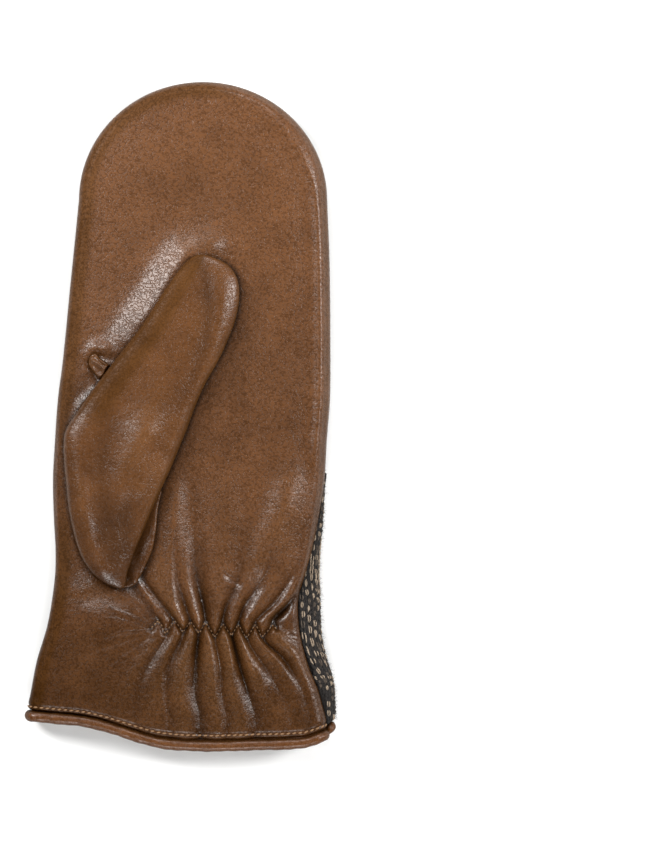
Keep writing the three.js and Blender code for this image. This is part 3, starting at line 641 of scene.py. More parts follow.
def gridNormals(points):
    ahead = np.empty_like(points)
    ahead[1:-1] = points[2:] - points[:-2]
    ahead[0] = points[1] - points[0]
    ahead[-1] = points[-1] - points[-2]
    inward = np.empty_like(points)
    inward[:, 1:-1] = points[:, 2:] - points[:, :-2]
    inward[:, 0] = points[:, 1] - points[:, 0]
    inward[:, -1] = points[::-1, -2] - points[:, -2]  # across the middle to the mirrored row
    normal = np.cross(inward, ahead)
    flat = np.linalg.norm(ahead, axis=-1) < 1e-6
    normal[flat] = (0, 0, 1)
    return unit(normal)


def sheetIndex(rows, count, tipFrom, tipTo):
    # the last column is shared by mirrored rows, and by all rows round the tip
    index = np.arange(rows * count).reshape(rows, count)
    index[tipFrom:tipTo, -1] = index[tipFrom - 1, -1]
    index[tipTo:, -1] = index[:tipFrom, -1][::-1]
    return index


def quadFaces(index):
    return np.stack([index[:-1, :-1], index[1:, :-1], index[1:, 1:], index[:-1, 1:]], axis=-1)


def cleanFaces(quads):
    faces = []
    for quad in quads.reshape(-1, 4).tolist():
        corners = [v for i, v in enumerate(quad) if v != quad[i - 1]]
        if len(corners) > 2:
            faces.append(corners)
    return faces


def holeRims(quads, offset, hole, turns):
    rims = []
    for axis, s, t in turns:
        ahead = np.roll(hole, -1, axis)
        for mine, p, q in ((~hole & ahead, s, t), (hole & ~ahead, t, s)):
            near, far = quads[mine][:, p], quads[mine][:, q]
            rims.append(np.stack([near, near + offset, far + offset, far], axis=-1))
    return np.concatenate(rims)


def closedSheet(outer, inner, tipFrom, tipTo, hole=None):
    rows, count = outer.shape[:2]
    index = sheetIndex(rows, count, tipFrom, tipTo)
    below = index + rows * count
    top = quadFaces(index)
    under = quadFaces(below)[..., ::-1]
    rims = [np.stack([index[:-1, 0], below[:-1, 0], below[1:, 0], index[1:, 0]], axis=-1)]
    for i, flip in ((0, False), (rows - 1, True)):
        rim = np.stack([index[i, :-1], index[i, 1:], below[i, 1:], below[i, :-1]], axis=-1)
        rims.append(rim[:, ::-1] if flip else rim)
    if hole is None:
        kept = [top.reshape(-1, 4), under.reshape(-1, 4)]
    else:
        kept = [top[~hole], under[~hole]]
        rims.append(holeRims(top, rows * count, hole, ((0, 1, 2), (1, 2, 3))))
    faces = cleanFaces(np.concatenate(kept + rims))
    return np.concatenate([outer.reshape(-1, 3), inner.reshape(-1, 3)]), faces


def usedOnly(points, faces, wearAndShading):
    used = np.zeros(len(points), bool)
    for face in faces:
        used[face] = True
    place = np.cumsum(used) - 1
    return points[used], [[int(place[v]) for v in face] for face in faces], wearAndShading[used]


# The thumb lies folded over the palm: its length and width, its lean to the right of the hand, the
# corner that it starts from, and the oval through which its hollow opens into the hand's
thumb = {
    "length": 137.0,
    "span": 44.0,
    "thick": 12.4,
    "lean": 14.7,
    "baseX": -33.2,
    "baseAlong": 48.6,
    "holeLong": 50.0,
    "holeWide": 24.0,
    "holeLean": 9.7,
    "holeAt": 0.235,  # its middle, as a share of the length and of the span
    "shadeWide": 1.3,
    "shadeAlong": (40, 190),  # the painted contact shade is only looked for inside these
    "shadeX": 25,
}


def thumbPlane(axis, offset):
    lean = math.radians(thumb["lean"])
    x = thumb["baseX"] + axis * math.sin(lean) + offset * math.cos(lean)
    return x, thumb["baseAlong"] + axis * math.cos(lean) - offset * math.sin(lean)


def insideHole(x, along):
    cx, cy = thumbPlane(thumb["length"] * thumb["holeAt"], -thumb["span"] * thumb["holeAt"])
    lean = math.radians(thumb["holeLean"])
    a = (x - cx) * math.sin(lean) + (along - cy) * math.cos(lean)
    b = (x - cx) * math.cos(lean) - (along - cy) * math.sin(lean)
    return (a / (thumb["holeLong"] / 2)) ** 2 + (b / (thumb["holeWide"] / 2)) ** 2 < 1


thumbLeaf = {"turn": [0, 0.045, 0.09, 0.14, 0.194, 0.24, 0.29, 0.334, 0.377, 0.413, 0.44, 0.5, 0.54,
    0.59, 0.634, 0.68, 0.74, 0.81, 0.88, 0.94, 1], "left": [0, -0.13, -0.245, -0.358, -0.46, -0.541,
    -0.627, -0.693, -0.761, -0.809, -0.822, -0.727, -0.65, -0.552, -0.464, -0.384, -0.311, -0.232,
    -0.159, -0.09, 0], "right": [0, 0.045, 0.125, 0.158, 0.184, 0.204, 0.19, 0.16, 0.152, 0.175,
    0.193, 0.232, 0.25, 0.288, 0.342, 0.38, 0.404, 0.382, 0.307, 0.19, 0],
    "face": [0, 0.04, 0.05, 0.04, 0.05, 0.064, 0.09, 0.115, 0.145, 0.175, 0.193, 0.232, 0.25, 0.288,
    0.342, 0.38, 0.404, 0.382, 0.307, 0.19, 0], "crown": [0.62, 0.68, 0.74, 0.8, 0.88, 0.93, 0.97, 1,
    1, 1, 1, 0.98, 0.97, 0.96, 0.95, 0.93, 0.9, 0.86, 0.8, 0.72, 0.6], }


def leafEdge(column):
    turn = np.linspace(0, 1, 48)
    offset = sample(thumbLeaf, turn, column, "turn") * thumb["span"]
    return thumbPlane(thumb["length"] / 2 * (1 - np.cos(math.pi * turn)), offset)


# How near a point is to the line where the thumb meets the palm, where the palm is darkened as painted
# contact shade
def thumbContactShade(x, along):
    near = np.full(x.shape, 99.0)
    close = (along > thumb["shadeAlong"][0]) & (along < thumb["shadeAlong"][1]) & (x <
        thumb["shadeX"])
    for column in ("left", "right", "face"):
        away = nearLine(*leafEdge(column), x[close], along[close])
        near[close] = np.minimum(near[close], away)
    return bell(near, thumb["shadeWide"])


side, along, ray = palmRows()
leftRows = int((side < 0).sum())
tipRows = int((side == 0).sum())
base, inset = palmBase(side, along, ray)
normals = gridNormals(base)
tipShare = np.where(side == 0, smooth((ray - sideRidge["rayFrom"]) / sideRidge["rayFade"]), 0)
relief, pleated = palmRelief(base[..., 0], base[..., 1], inset, side > 0, tipShare)
lifted = relief + np.where(side == 0, 0, lipHeight(along))
palmOuter = base + normals * lifted[..., None]
level = normals.copy()
level[:, 0, 2] = 0
level[[0, -1], :, 1] = 0
palmInner = palmOuter - unit(level) * mitten["leatherWall"]

# How light the leather is from the hem to the tip, as a share from the dark tone to the light one
lengthTone = {
    "y": [80, 160, 300, 420, 520, 600, 640, 680, 740],
    "shade": [1, 0.95, 0.75, 0.62, 0.54, 0.38, 0.24, 0.16, 0.2],
}


def lengthToneAt(points):
    return sample(lengthTone, photo["cornerY"] - points[..., 1] / photo["mmPerPixel"], "shade", "y")


palmWearAndShading = {
    "fold": 0.16, "pleatValleyShade": 0.42, "pleatHigh": 0.25,  # for each millimetre of height: raised folds look rubbed lighter, sunk ones take painted shade
    "dull": 0.95, "rim": (8.5, 4),  # from this inset outwards, and over how much
    "brightAt": (92, 17), "brightShare": 0.8,  # beside the thumb the left rim keeps its gloss
    "tipFrom": 0.66, "tipOver": 0.15,  # turns round the tip
    "cuff": 0.4, "cuffAt": (40, 12),
}


def makePalm():
    centre = 0.25 * (palmOuter[:-1, :-1] + palmOuter[1:, :-1] + palmOuter[1:, 1:] + palmOuter[:-1, 1:])
    hole = insideHole(centre[..., 0], centre[..., 1])
    points, faces = closedSheet(palmOuter, palmInner, leftRows, leftRows + tipRows, hole)
    w = palmWearAndShading
    # raised folds look rubbed lighter; valleys and sunk folds are darkened as painted shade
    wearAndShading = w["fold"] * relief + np.where(pleated < 0, w["pleatValleyShade"], w["pleatHigh"]) * pleated
    # painted contact shade: the palm is darkened along the thumb's edges
    wearAndShading = wearAndShading - thumbContactShade(base[..., 0], base[..., 1])
    # the left side and the tip are made dull where they turn down, up to the ridge at the right, which
    # also tints them as painted reflection
    leftDulled = 1 - w["brightShare"] * bell(along - w["brightAt"][0], w["brightAt"][1])
    tipDulled = smooth((w["tipFrom"] - ray) / w["tipOver"])
    dulled = bySide(side, leftDulled, 0, tipDulled)
    rim = smooth((w["rim"][0] - inset) / w["rim"][1]) * dulled
    # the cuff is made a little dull too, which also tints it as painted reflection
    cuff = smooth((w["cuffAt"][0] - base[..., 1]) / w["cuffAt"][1])
    dull = np.maximum(w["dull"] * rim, w["cuff"] * cuff)
    both = [np.concatenate([np.clip(v, -1, 1).ravel(), 0 * v.ravel()]) for v in (wearAndShading, dull)]
    points, faces, both = usedOnly(points, faces, np.stack(both, axis=1))
    makeMesh("palmSkin", points, faces, palmLeather, "palm_panel", both[:, 0],
        both[:, 1])


makePalm()
print("palm made")


# Threads: each stitch is a short capsule, half sunk in the leather
stitches = {
    "hemPitch": 2.4, "hemLength": 1.65, "hemRadius": 0.36, "hemSink": 0.02,
    "hemSlant": (0.2, 0.07),  # mean and spread
    "gatherPitch": 1.55, "gatherLength": 1.0, "gatherRadius": 0.25, "gatherSink": -0.1,
    "gatherWander": 0.12,
    "start": 0.6,
    "arch": 0.55,  # of its radius, how far its middle stands out
}


def capsules(starts, ends, normals, radius, sides=6, steps=5):
    way = unit(ends - starts)
    across = unit(np.cross(way, normals))
    up = np.cross(across, way)
    points, faces = [], []
    for k in range(steps + 1):
        t = k / steps
        swell = radius * math.sqrt(max(1 - (2 * t - 1) ** 4, 0.02))
        middle = starts + (ends - starts) * t
        lift = normals * radius * stitches["arch"] * math.sin(math.pi * t)
        for j in range(sides):
            angle = 2 * math.pi * j / sides
            points.append(middle + lift + swell * (math.cos(angle) * across + math.sin(angle) * up))
    points = np.stack(points, axis=1)
    count = points.shape[1]
    ring = []
    for k in range(steps):
        for j in range(sides):
            n = (j + 1) % sides
            ring.append([k * sides + j, k * sides + n, (k + 1) * sides + n, (k + 1) * sides + j])
    ring.append(list(range(sides))[::-1])
    ring.append([steps * sides + j for j in range(sides)])
    for i in range(len(points)):
        faces += [[v + i * count for v in face] for face in ring]
    return points.reshape(-1, 3), faces


def alongLine(points, normals, pitch, length, sink):
    distance = lengthAlong(points)
    places = np.arange(stitches["start"], distance[-1] - length, pitch)

    def at(where, values):
        return np.stack([np.interp(where, distance, values[:, k]) for k in range(3)], axis=1)

    up = unit(at(places + length / 2, normals))
    return at(places, points) - up * sink, at(places + length, points) - up * sink, up


def hemLine(rowAlong):
    row = np.argmin(np.abs(along[:leftRows, 0] - rowAlong))
    return acrossRows(palmOuter, row), acrossRows(normals, row)


def makeStitches():
    t = stitches
    seeded = np.random.default_rng(7)
    line, up = hemLine(lip["stitchLine"])
    starts, ends, ups = alongLine(line, up, t["hemPitch"], t["hemLength"], t["hemSink"])
    slant = seeded.normal(*t["hemSlant"], (len(starts), 1)) * np.array([[0, 1, 0]])
    points, faces = capsules(starts - slant, ends + slant, ups, t["hemRadius"])
    makeMesh("hemTopstitch", points, faces, stitchThread, None)
    flat = resample(np.stack(fromPhoto(gatherLine["x"], gatherLine["y"]), axis=1), 0.3)
    line = np.concatenate([flat, palmTop(flat[:, 0], flat[:, 1])[:, None]], axis=1)
    up = np.tile([0.0, 0.0, 1.0], (len(line), 1))
    starts, ends, ups = alongLine(line, up, t["gatherPitch"], t["gatherLength"], t["gatherSink"])
    wander = seeded.normal(0, t["gatherWander"], starts.shape) * np.array([1, 1, 0])
    points, faces = capsules(starts + wander, ends + wander, ups, t["gatherRadius"])
    makeMesh("gatherStitches", points, faces, stitchThread, None)


def resample(points, step):
    distance = lengthAlong(points)
    places = np.linspace(0, distance[-1], max(int(distance[-1] / step), 2))
    return np.stack([np.interp(places, distance, points[:, k]) for k in range(points.shape[1])], axis=1)


makeStitches()
print("stitches made")


# A tube of rings, closed at both ends
def ringFaces(rings, sides):
    index, quads = ringQuads(rings, sides)
    return quads.reshape(-1, 4).tolist() + [index[0][::-1].tolist(), index[-1].tolist()]


def ringQuads(rings, sides):
    index = np.arange(rings * sides).reshape(rings, sides)
    after = np.roll(index, -1, axis=1)
    return index, np.stack([index[:-1], after[:-1], after[1:], index[1:]], axis=-1)


thumbFolds = [
    # the hollow that runs down to its base, and the puffs on both sides of it
    (3.6, [166, 148, 134, 126, 128], [436, 456, 480, 515, 550], [-0.7, -1.3, -1.4, -1.1, -0.6]),
    (6.6, [154, 146, 135], [392, 438, 482], [0.4, 2.1, 2.1]),
    (3.8, [176, 169, 156, 146], [452, 480, 512, 540], [0.4, 1.9, 1.8, 0.8]),
    (4.5, [114, 106, 110], [420, 460, 520], [-0.6, -1.2, -0.8]),
    (2.8, [78, 83, 92, 106], [446, 500, 542, 570], [0.2, 1.1, 1.4, 1.0]),
    # short creases above the puff
    (0.8, [148, 160, 174], [416, 409, 402], [0, -0.28, -0.1]),
    (0.8, [158, 168, 178], [432, 421, 414], [0, -0.26, -0.1]),
    (0.9, [136, 148, 160], [402, 396, 393], [0, -0.22, -0.1]),
    # the roll along its right edge, and the valley inside that, which is also darkened as painted shade
    (2.8, [214, 222, 224, 217, 205, 188, 174], [266, 279, 310, 345, 378, 415, 445],
     [0.1, 0.2, 0.3, 0.6, 0.9, 0.9, 0.7]),
    (2.9, [203, 207, 210, 207, 199, 186, 170], [264, 280, 310, 345, 372, 405, 434],
     [-0.3, -0.45, -0.4, -0.35, -0.35, -0.1, 0.1]),
]


thumbForm = {
    "stations": 210, "sides": 104,
    "baseLift": 0.82, "baseTo": 0.45,  # shares of the loft that it lies on, and of its length
    "tipDrop": 0.04, "tipFrom": 0.6, "tipFade": 0.4,
    "middle": 0.42,
    "ends": (0.004, 0.996),
    "tipRound": 0.4,
    "leftSquare": 3.8, "rightSquare": 2.5,  # 2 for an ellipse
    "underBase": 2.4, "underTip": 1.15, "underTo": 0.5,  # how much deeper its underside is
    "foldFade": 1.6,
}
thumbWearAndShading = {
    "fold": 2.8,  # mm of height for the full rubbed tone, and of depth for the full painted shade
    # how much more the valley inside the roll is darkened, as painted shade
    "roll": 0.7,
    "base": 0.34, "baseTo": 0.38, "baseFade": 0.2,  # darker towards its base
    "least": -0.75,
    "dull": 0.95, "edge": 0.36, "edgeFade": 0.16, "edgeFrom": 0.42, "edgeOver": 0.1,
}


def thumbMiddle(turn):
    f = thumbForm
    lift = seamHeight + loft * mix(f["baseLift"], 1, np.clip(turn / f["baseTo"], 0, 1))
    drop = loft * f["tipDrop"] * np.clip((turn - f["tipFrom"]) / f["tipFade"], 0, 1)
    return lift + gap + thumb["thick"] * f["middle"] - drop


def thumbTube(stations, sides, wall):
    f, w = thumbForm, thumbWearAndShading
    turn = np.linspace(*f["ends"], stations)[:, None]
    angle = around(sides)
    half = thumb["length"] / 2 - wall
    axis = thumb["length"] / 2 - half * np.cos(math.pi * turn)
    left = sample(thumbLeaf, turn, "left", "turn") * thumb["span"] + wall
    right = sample(thumbLeaf, turn, "face", "turn") * thumb["span"] - wall
    right = np.maximum(right, left + 0.5)
    crown = sample(thumbLeaf, turn, "crown", "turn") * np.sin(math.pi * turn) ** f["tipRound"]
    high = np.maximum(thumb["thick"] / 2 * crown - wall, 0.2)
    c, s = np.cos(angle), np.sin(angle)
    bulge = 2 / np.where(c < 0, f["leftSquare"], f["rightSquare"])
    offset = mix(left, right, 0.5 + 0.5 * np.sign(c) * np.abs(c) ** bulge)
    x, y = thumbPlane(axis, offset)
    sink = np.where(s < 0, mix(f["underBase"], f["underTip"], np.clip(turn / f["underTo"], 0, 1)), 1)
    z = thumbMiddle(turn) + high * sink * np.sign(s) * np.abs(s) ** bulge
    folds = foldHeight(thumbFolds, x, y) * smooth(s * f["foldFade"])
    floor = palmTop(x, y) + gap + wall
    # its upper left edge is made dull like the palm's, which also tints it as painted reflection
    edge = smooth((w["edge"] - (offset - left) / (right - left)) / w["edgeFade"])
    edge = edge * smooth((turn - w["edgeFrom"]) / w["edgeOver"])
    # raised folds look rubbed lighter, hollows and creases are darkened as painted shade
    wearAndShading = folds / w["fold"] + w["roll"] * foldHeight(thumbFolds[-1:], x, y) * (s > 0)
    wearAndShading = np.clip(wearAndShading - w["base"] * smooth((w["baseTo"] - turn) / w["baseFade"]), w["least"], 1)
    return np.stack([x, y, np.maximum(z + folds, floor)], axis=-1), wearAndShading, edge


def makeThumb():
    stations, sides = thumbForm["stations"], thumbForm["sides"]
    outer, wearAndShading, edge = thumbTube(stations, sides, 0)
    inner = thumbTube(stations, sides, mitten["leatherWall"])[0]
    count = stations * sides
    centre = 0.5 * (outer[:-1] + outer[1:])
    middle = 0.5 * (centre + np.roll(centre, -1, axis=1))
    low = (np.arange(sides)[None, :] > sides / 2) & (np.arange(sides)[None, :] < sides)
    hole = insideHole(middle[..., 0], middle[..., 1]) & low
    index, top = ringQuads(stations, sides)
    faces = top[~hole].tolist()
    faces += (top[~hole][:, ::-1] + count).tolist()
    faces += holeRims(top, count, hole, ((1, 1, 2), (0, 2, 3))).tolist()
    faces += [index[0][::-1].tolist(), index[-1].tolist()]
    faces += [(index[0] + count).tolist(), (index[-1][::-1] + count).tolist()]
    points = np.concatenate([outer.reshape(-1, 3), inner.reshape(-1, 3)])
    both = [np.concatenate([v.ravel(), 0 * v.ravel()]) for v in (wearAndShading, thumbWearAndShading["dull"] * edge)]
    points, faces, both = usedOnly(points, faces, np.stack(both, axis=1))
    makeMesh("thumbSkin", points, faces, thumbLeather, "thumb", both[:, 0], both[:, 1])


makeThumb()
print("thumb made")


# The strip of the thumb's underside beside its base: a low fold that runs out under the upper face
strip = {
    "from": 0.02, "to": 0.372,  # of the thumb's turn
    "wide": 11.0, "high": 3.6,
    "stations": 90, "sides": 40,
    "ends": (0.06, 0.94), "endRound": 0.7,
    "square": 0.8,
    # painted shade: the fold is darkened all over, and more on its side tucked under the thumb's face
    "wearAndShading": -0.2, "underShade": 0.7,
}


def makeStrip():
    stations, sides = strip["stations"], strip["sides"]
    t = np.linspace(0, 1, stations)[:, None]
    turn = mix(strip["from"], strip["to"], t)
    axis = thumb["length"] / 2 * (1 - np.cos(math.pi * turn))
    swell = np.sin(math.pi * mix(*strip["ends"], t)) ** strip["endRound"]
    right = sample(thumbLeaf, turn, "right", "turn") * thumb["span"]
    left = right - strip["wide"] * swell
    angle = around(sides)
    c, s = np.cos(angle), np.sin(angle)
    offset = mix(left, right, 0.5 + 0.5 * np.sign(c) * np.abs(c) ** strip["square"])
    x, y = thumbPlane(axis, offset)
    ground = palmTop(x, y) + gap
    rise = strip["high"] * swell * (0.75 + 0.45 * c)
    z = ground + np.maximum(rise * (0.55 + 0.55 * np.sign(s) * np.abs(s) ** strip["square"]), 0)
    points = np.stack([x, y, z], axis=-1)
    # painted shade, deepest on the side under the thumb's face
    wearAndShading = np.clip(strip["wearAndShading"] - strip["underShade"] * (0.5 - c), -1, 0.4) + 0 * z
    makeMesh("thumbUnderFold", points.reshape(-1, 3), ringFaces(stations, sides), thumbLeather,
        "thumb", wearAndShading)


makeStrip()


# The tucked loop at the thumb's crotch: a small puffed tab with a raised rim and a pressed middle
quirk = {
    "x": 100.5, "y": 366.5,  # pixels
    "wide": 9.2, "long": 10.4, "high": 2.6,
    "rings": 26, "sides": 72,
    "lift": 0.15,
    "rimWide": 0.3,  # shares of its radius
    "dent": 0.9, "dentFrom": 0.78, "dentFade": 0.4,
    "fold": 0.9, "foldWide": 0.8, "foldFrom": 0.9, "foldFade": 0.3, "foldOff": 0.4,
}
quirkOutline = {
    "share": [0, 0.125, 0.25, 0.375, 0.5, 0.625, 0.75, 0.875, 1],
    "x": [0.9, 0.1, -0.35, -0.85, -0.95, -0.6, 0, 0.45, 0.9],
    "y": [0.1, 0.62, 1, 0.75, 0.15, -0.45, -0.98, -0.7, 0.1],
}


def makeQuirk():
    q = quirk
    rings, sides = q["rings"], q["sides"]
    share = (np.arange(sides) / sides)[None, :]
    reach = np.linspace(1, 0.04, rings)[:, None]
    cx, cy = fromPhoto(q["x"], q["y"])
    x = cx + sample(quirkOutline, share, "x", "share") * q["wide"] / 2 * reach
    y = cy + sample(quirkOutline, share, "y", "share") * q["long"] / 2 * reach
    ground = palmTop(x, y)
    rim = q["high"] * turnIn((1 - reach) / q["rimWide"])
    dent = q["dent"] * smooth((q["dentFrom"] - reach) / q["dentFade"])
    fold = q["fold"] * bell((x - cx) * 0.6 + (y - cy) * 0.8 - q["foldOff"], q["foldWide"])
    fold = fold * smooth((q["foldFrom"] - reach) / q["foldFade"])
    z = ground + q["lift"] + rim - dent + fold
    low = np.stack([x[:1], y[:1], ground[:1] + 0.05], axis=-1)
    points = np.concatenate([low, np.stack([x, y, z], axis=-1)])
    # painted shade round its foot and in its pressed middle, painted light where its rim and fold stand
    # up
    wearAndShading = np.clip(-1 + rim / 1.3 - dent * 0.6 + fold * 0.5, -1, 0.6)
    wearAndShading = np.concatenate([np.full((1, sides), -1.0), wearAndShading])
    makeMesh("crotchTuck", points.reshape(-1, 3), ringFaces(rings + 1, sides), thumbLeather,
        "thumb_quirk", wearAndShading)


makeQuirk()
print("thumb details made")


# The rolled edges: leather folded round the hem and sewn down, an oval roll along each half
binding = {
    "depth": 4.4, "thick": 4.0, "sides": 22,
    "lumps": ((0.035, 0.42, 0), (0.03, 1.13, 1)),  # height share, radians for a millimetre, start
    "endRound": 1.2, "endLeast": 0.25,
    # painted shade along the crease where the roll meets the leather
    "crease": -0.9, "shadeWide": 0.35,
}


def bindingTube(name, path, normals, wall, node):
    sides = binding["sides"]
    angle = around(sides)[..., None]
    flatNormals = normals.copy()
    flatNormals[:, 1] = 0
    flatNormals = unit(flatNormals)
    centre = path - flatNormals * wall / 2
    centre[:, 1] -= gap + binding["depth"] / 2
    distance = lengthAlong(path)
    lumps = 1
    for high, pace, start in binding["lumps"]:
        lumps = lumps + high * np.sin(distance * pace + start)
    fromEnd = np.minimum(distance, distance[-1] - distance)
    ends = np.clip(fromEnd / binding["endRound"], binding["endLeast"], 1) ** 0.5
    size = (lumps * ends)[:, None, None]
    ring = centre[:, None, :] + size * flatNormals[:, None, :] * (binding["thick"] / 2) * np.sin(angle)
    ring = ring + size * np.array([0, binding["depth"] / 2, 0])[None, None, :] * np.cos(angle)
    ring[..., 2] = np.maximum(ring[..., 2], 0)
    # painted shade on the roll's side that meets the leather
    crease = binding["crease"] * bell(np.cos(angle[..., 0]) - 1, binding["shadeWide"])
    crease = crease * np.ones((len(path), 1))
    makeMesh(name, ring.reshape(-1, 3), ringFaces(len(path), sides), bindingLeather,
        node, crease)


def makePalmBinding():
    both = resample(np.concatenate([acrossRows(base), acrossRows(normals)], axis=1), 0.9)
    bindingTube("palmRoll", both[:, :3], both[:, 3:], mitten["leatherWall"], "cuff_binding_palm")


makePalmBinding()


# The knitted back. Its fabric is laid out flat, and wrapped up round the outline: a point that lies
# further out than the flat part climbs the turned side, and then the strip under the leather's edge.
def backEdge():
    alongs = np.arange(0, tipAlong, 1.0)
    left, right = edgeAt(alongs, "left"), edgeAt(alongs, "knit")
    angle = np.linspace(math.pi, 0, 90)
    wide = np.where(angle < math.pi / 2, right[-1], -left[-1])
    tip = np.stack([wide * np.cos(angle), tipAlong + mitten["tipDepth"] * np.sin(angle)], axis=1)
    edge = np.concatenate([np.stack([left, alongs], axis=1), tip,
        np.stack([right, alongs], axis=1)[::-1]])
    return resample(edge, 0.8)


edgeLine = backEdge()
edgeWay = unit(np.gradient(edgeLine, axis=0))
edgeIn = np.stack([edgeWay[:, 1], -edgeWay[:, 0]], axis=1)
rollTop = seamHeight - gap - 1
rollArc = math.pi / 2 * math.sqrt((mitten["backRoll"] ** 2 + rollTop ** 2) / 2)


def wrapBack(u, v, lift):
    # u across and v along on the flat fabric; lift is how far a point stands out of the face
    shape = u.shape
    flat = np.stack([u.ravel(), v.ravel()], axis=1)
    near = np.empty(len(flat), int)
    for part in np.array_split(np.arange(len(flat)), max(len(flat) // 4000, 1)):
        near[part] = np.argmin(((flat[part, None, :] - edgeLine[None]) ** 2).sum(-1), axis=1)
    inward = edgeIn[near]
    depth = ((flat - edgeLine[near]) * inward).sum(-1)
    slide = ((flat - edgeLine[near]) * edgeWay[near]).sum(-1)
    climb = np.maximum(mitten["backRoll"] - depth, 0)
    turn = np.clip(climb / rollArc, 0, 1) * math.pi / 2
    over = np.maximum(climb - rollArc, 0)
    foot = edgeLine[near] + slide[:, None] * edgeWay[near]
    right = inward[:, 0] < -0.5
    rise = np.where(right, sample(heights, foot[:, 1], "rise"), 0) * loft
    knitted, leather = [sample(outline, foot[:, 1], column) for column in ("knit", "leather")]
    wide = np.where(right, knitted - leather, 0)
    wide = np.maximum(wide * handWidth, 0.02)
    high = seamHeight + rise - gap - rollTop
    rimArc = math.pi / 2 * np.sqrt((wide ** 2 + high ** 2) / 2)
    rimTurn = np.clip(over / rimArc, 0, 1.15) * math.pi / 2
    plan = mitten["backRoll"] * (1 - np.sin(turn)) + wide * (1 - np.cos(rimTurn))
    z = rollTop * (1 - np.cos(turn)) + high * np.sin(rimTurn)
    level = np.where(over > 0, -np.cos(rimTurn), -np.sin(turn))
    upright = np.where(over > 0, np.sin(rimTurn), -np.cos(turn))
    isFlat = depth >= mitten["backRoll"]
    place = np.where(isFlat[:, None], flat, foot + inward * plan[:, None])
    out = np.concatenate([inward * level[:, None], upright[:, None]], axis=1)
    out[isFlat] = (0, 0, -1)
    points = np.concatenate([place, np.where(isFlat, 0, z)[:, None]], axis=1)
    points = points + out * lift.ravel()[:, None]
    spare = (rollArc + rimArc - climb).reshape(shape)
    return points.reshape(shape + (3,)), out.reshape(shape + (3,)), spare, foot.reshape(shape + (2,))


knit = {
    "wale": 2.5,  # across one stitch
    "course": 1.8,  # along one stitch
    "yarn": 0.62,  # radius
    "sink": 0.62,
    "every": 2,  # a light stitch in every other course, a course later in every other wale
    "cream": 0.92, "ash": 0.36,  # how many of the light stitches are there, and how many are grey
    "strayAsh": 0.12,
    "motifAt": (22, 31),  # the denser group of light stitches, as its middle's wale and course
    "motifSlope": (0.5, 0.33), "motifSize": 2.2, "motifKept": 0.7,
    "shift": 6.0,
    "hemGap": 1.2,
    "shownX": 0, "shownAlong": 92,  # right of and before these the stitches go up to the seam
    "shownSpare": -0.6, "hiddenSpare": 2.4,
    "stripX": 30, "stripAlong": 100,  # right of and before these they are made finer
    "half": 130,  # the rest is one piece before this and one beyond it
}
# Each stitch has two legs, as shares of a wale across and of a course along. Those of the plain ones
# spread like a V, those of the light ones lie close together over them.
legs = {
    "foot": -0.35, "length": 1.6,
    "arch": 0.75, "archAt": 0.95,
    "thin": 0.62, "flat": 0.85,
    "uneven": 0.06,
    "plainFoot": 0.09, "plainSpread": 0.36, "plainJitter": 0.05,
    "lightFoot": 0.05, "lightSpread": 0.11, "lightJitter": 0.22, "lightRaised": 0.42,
}


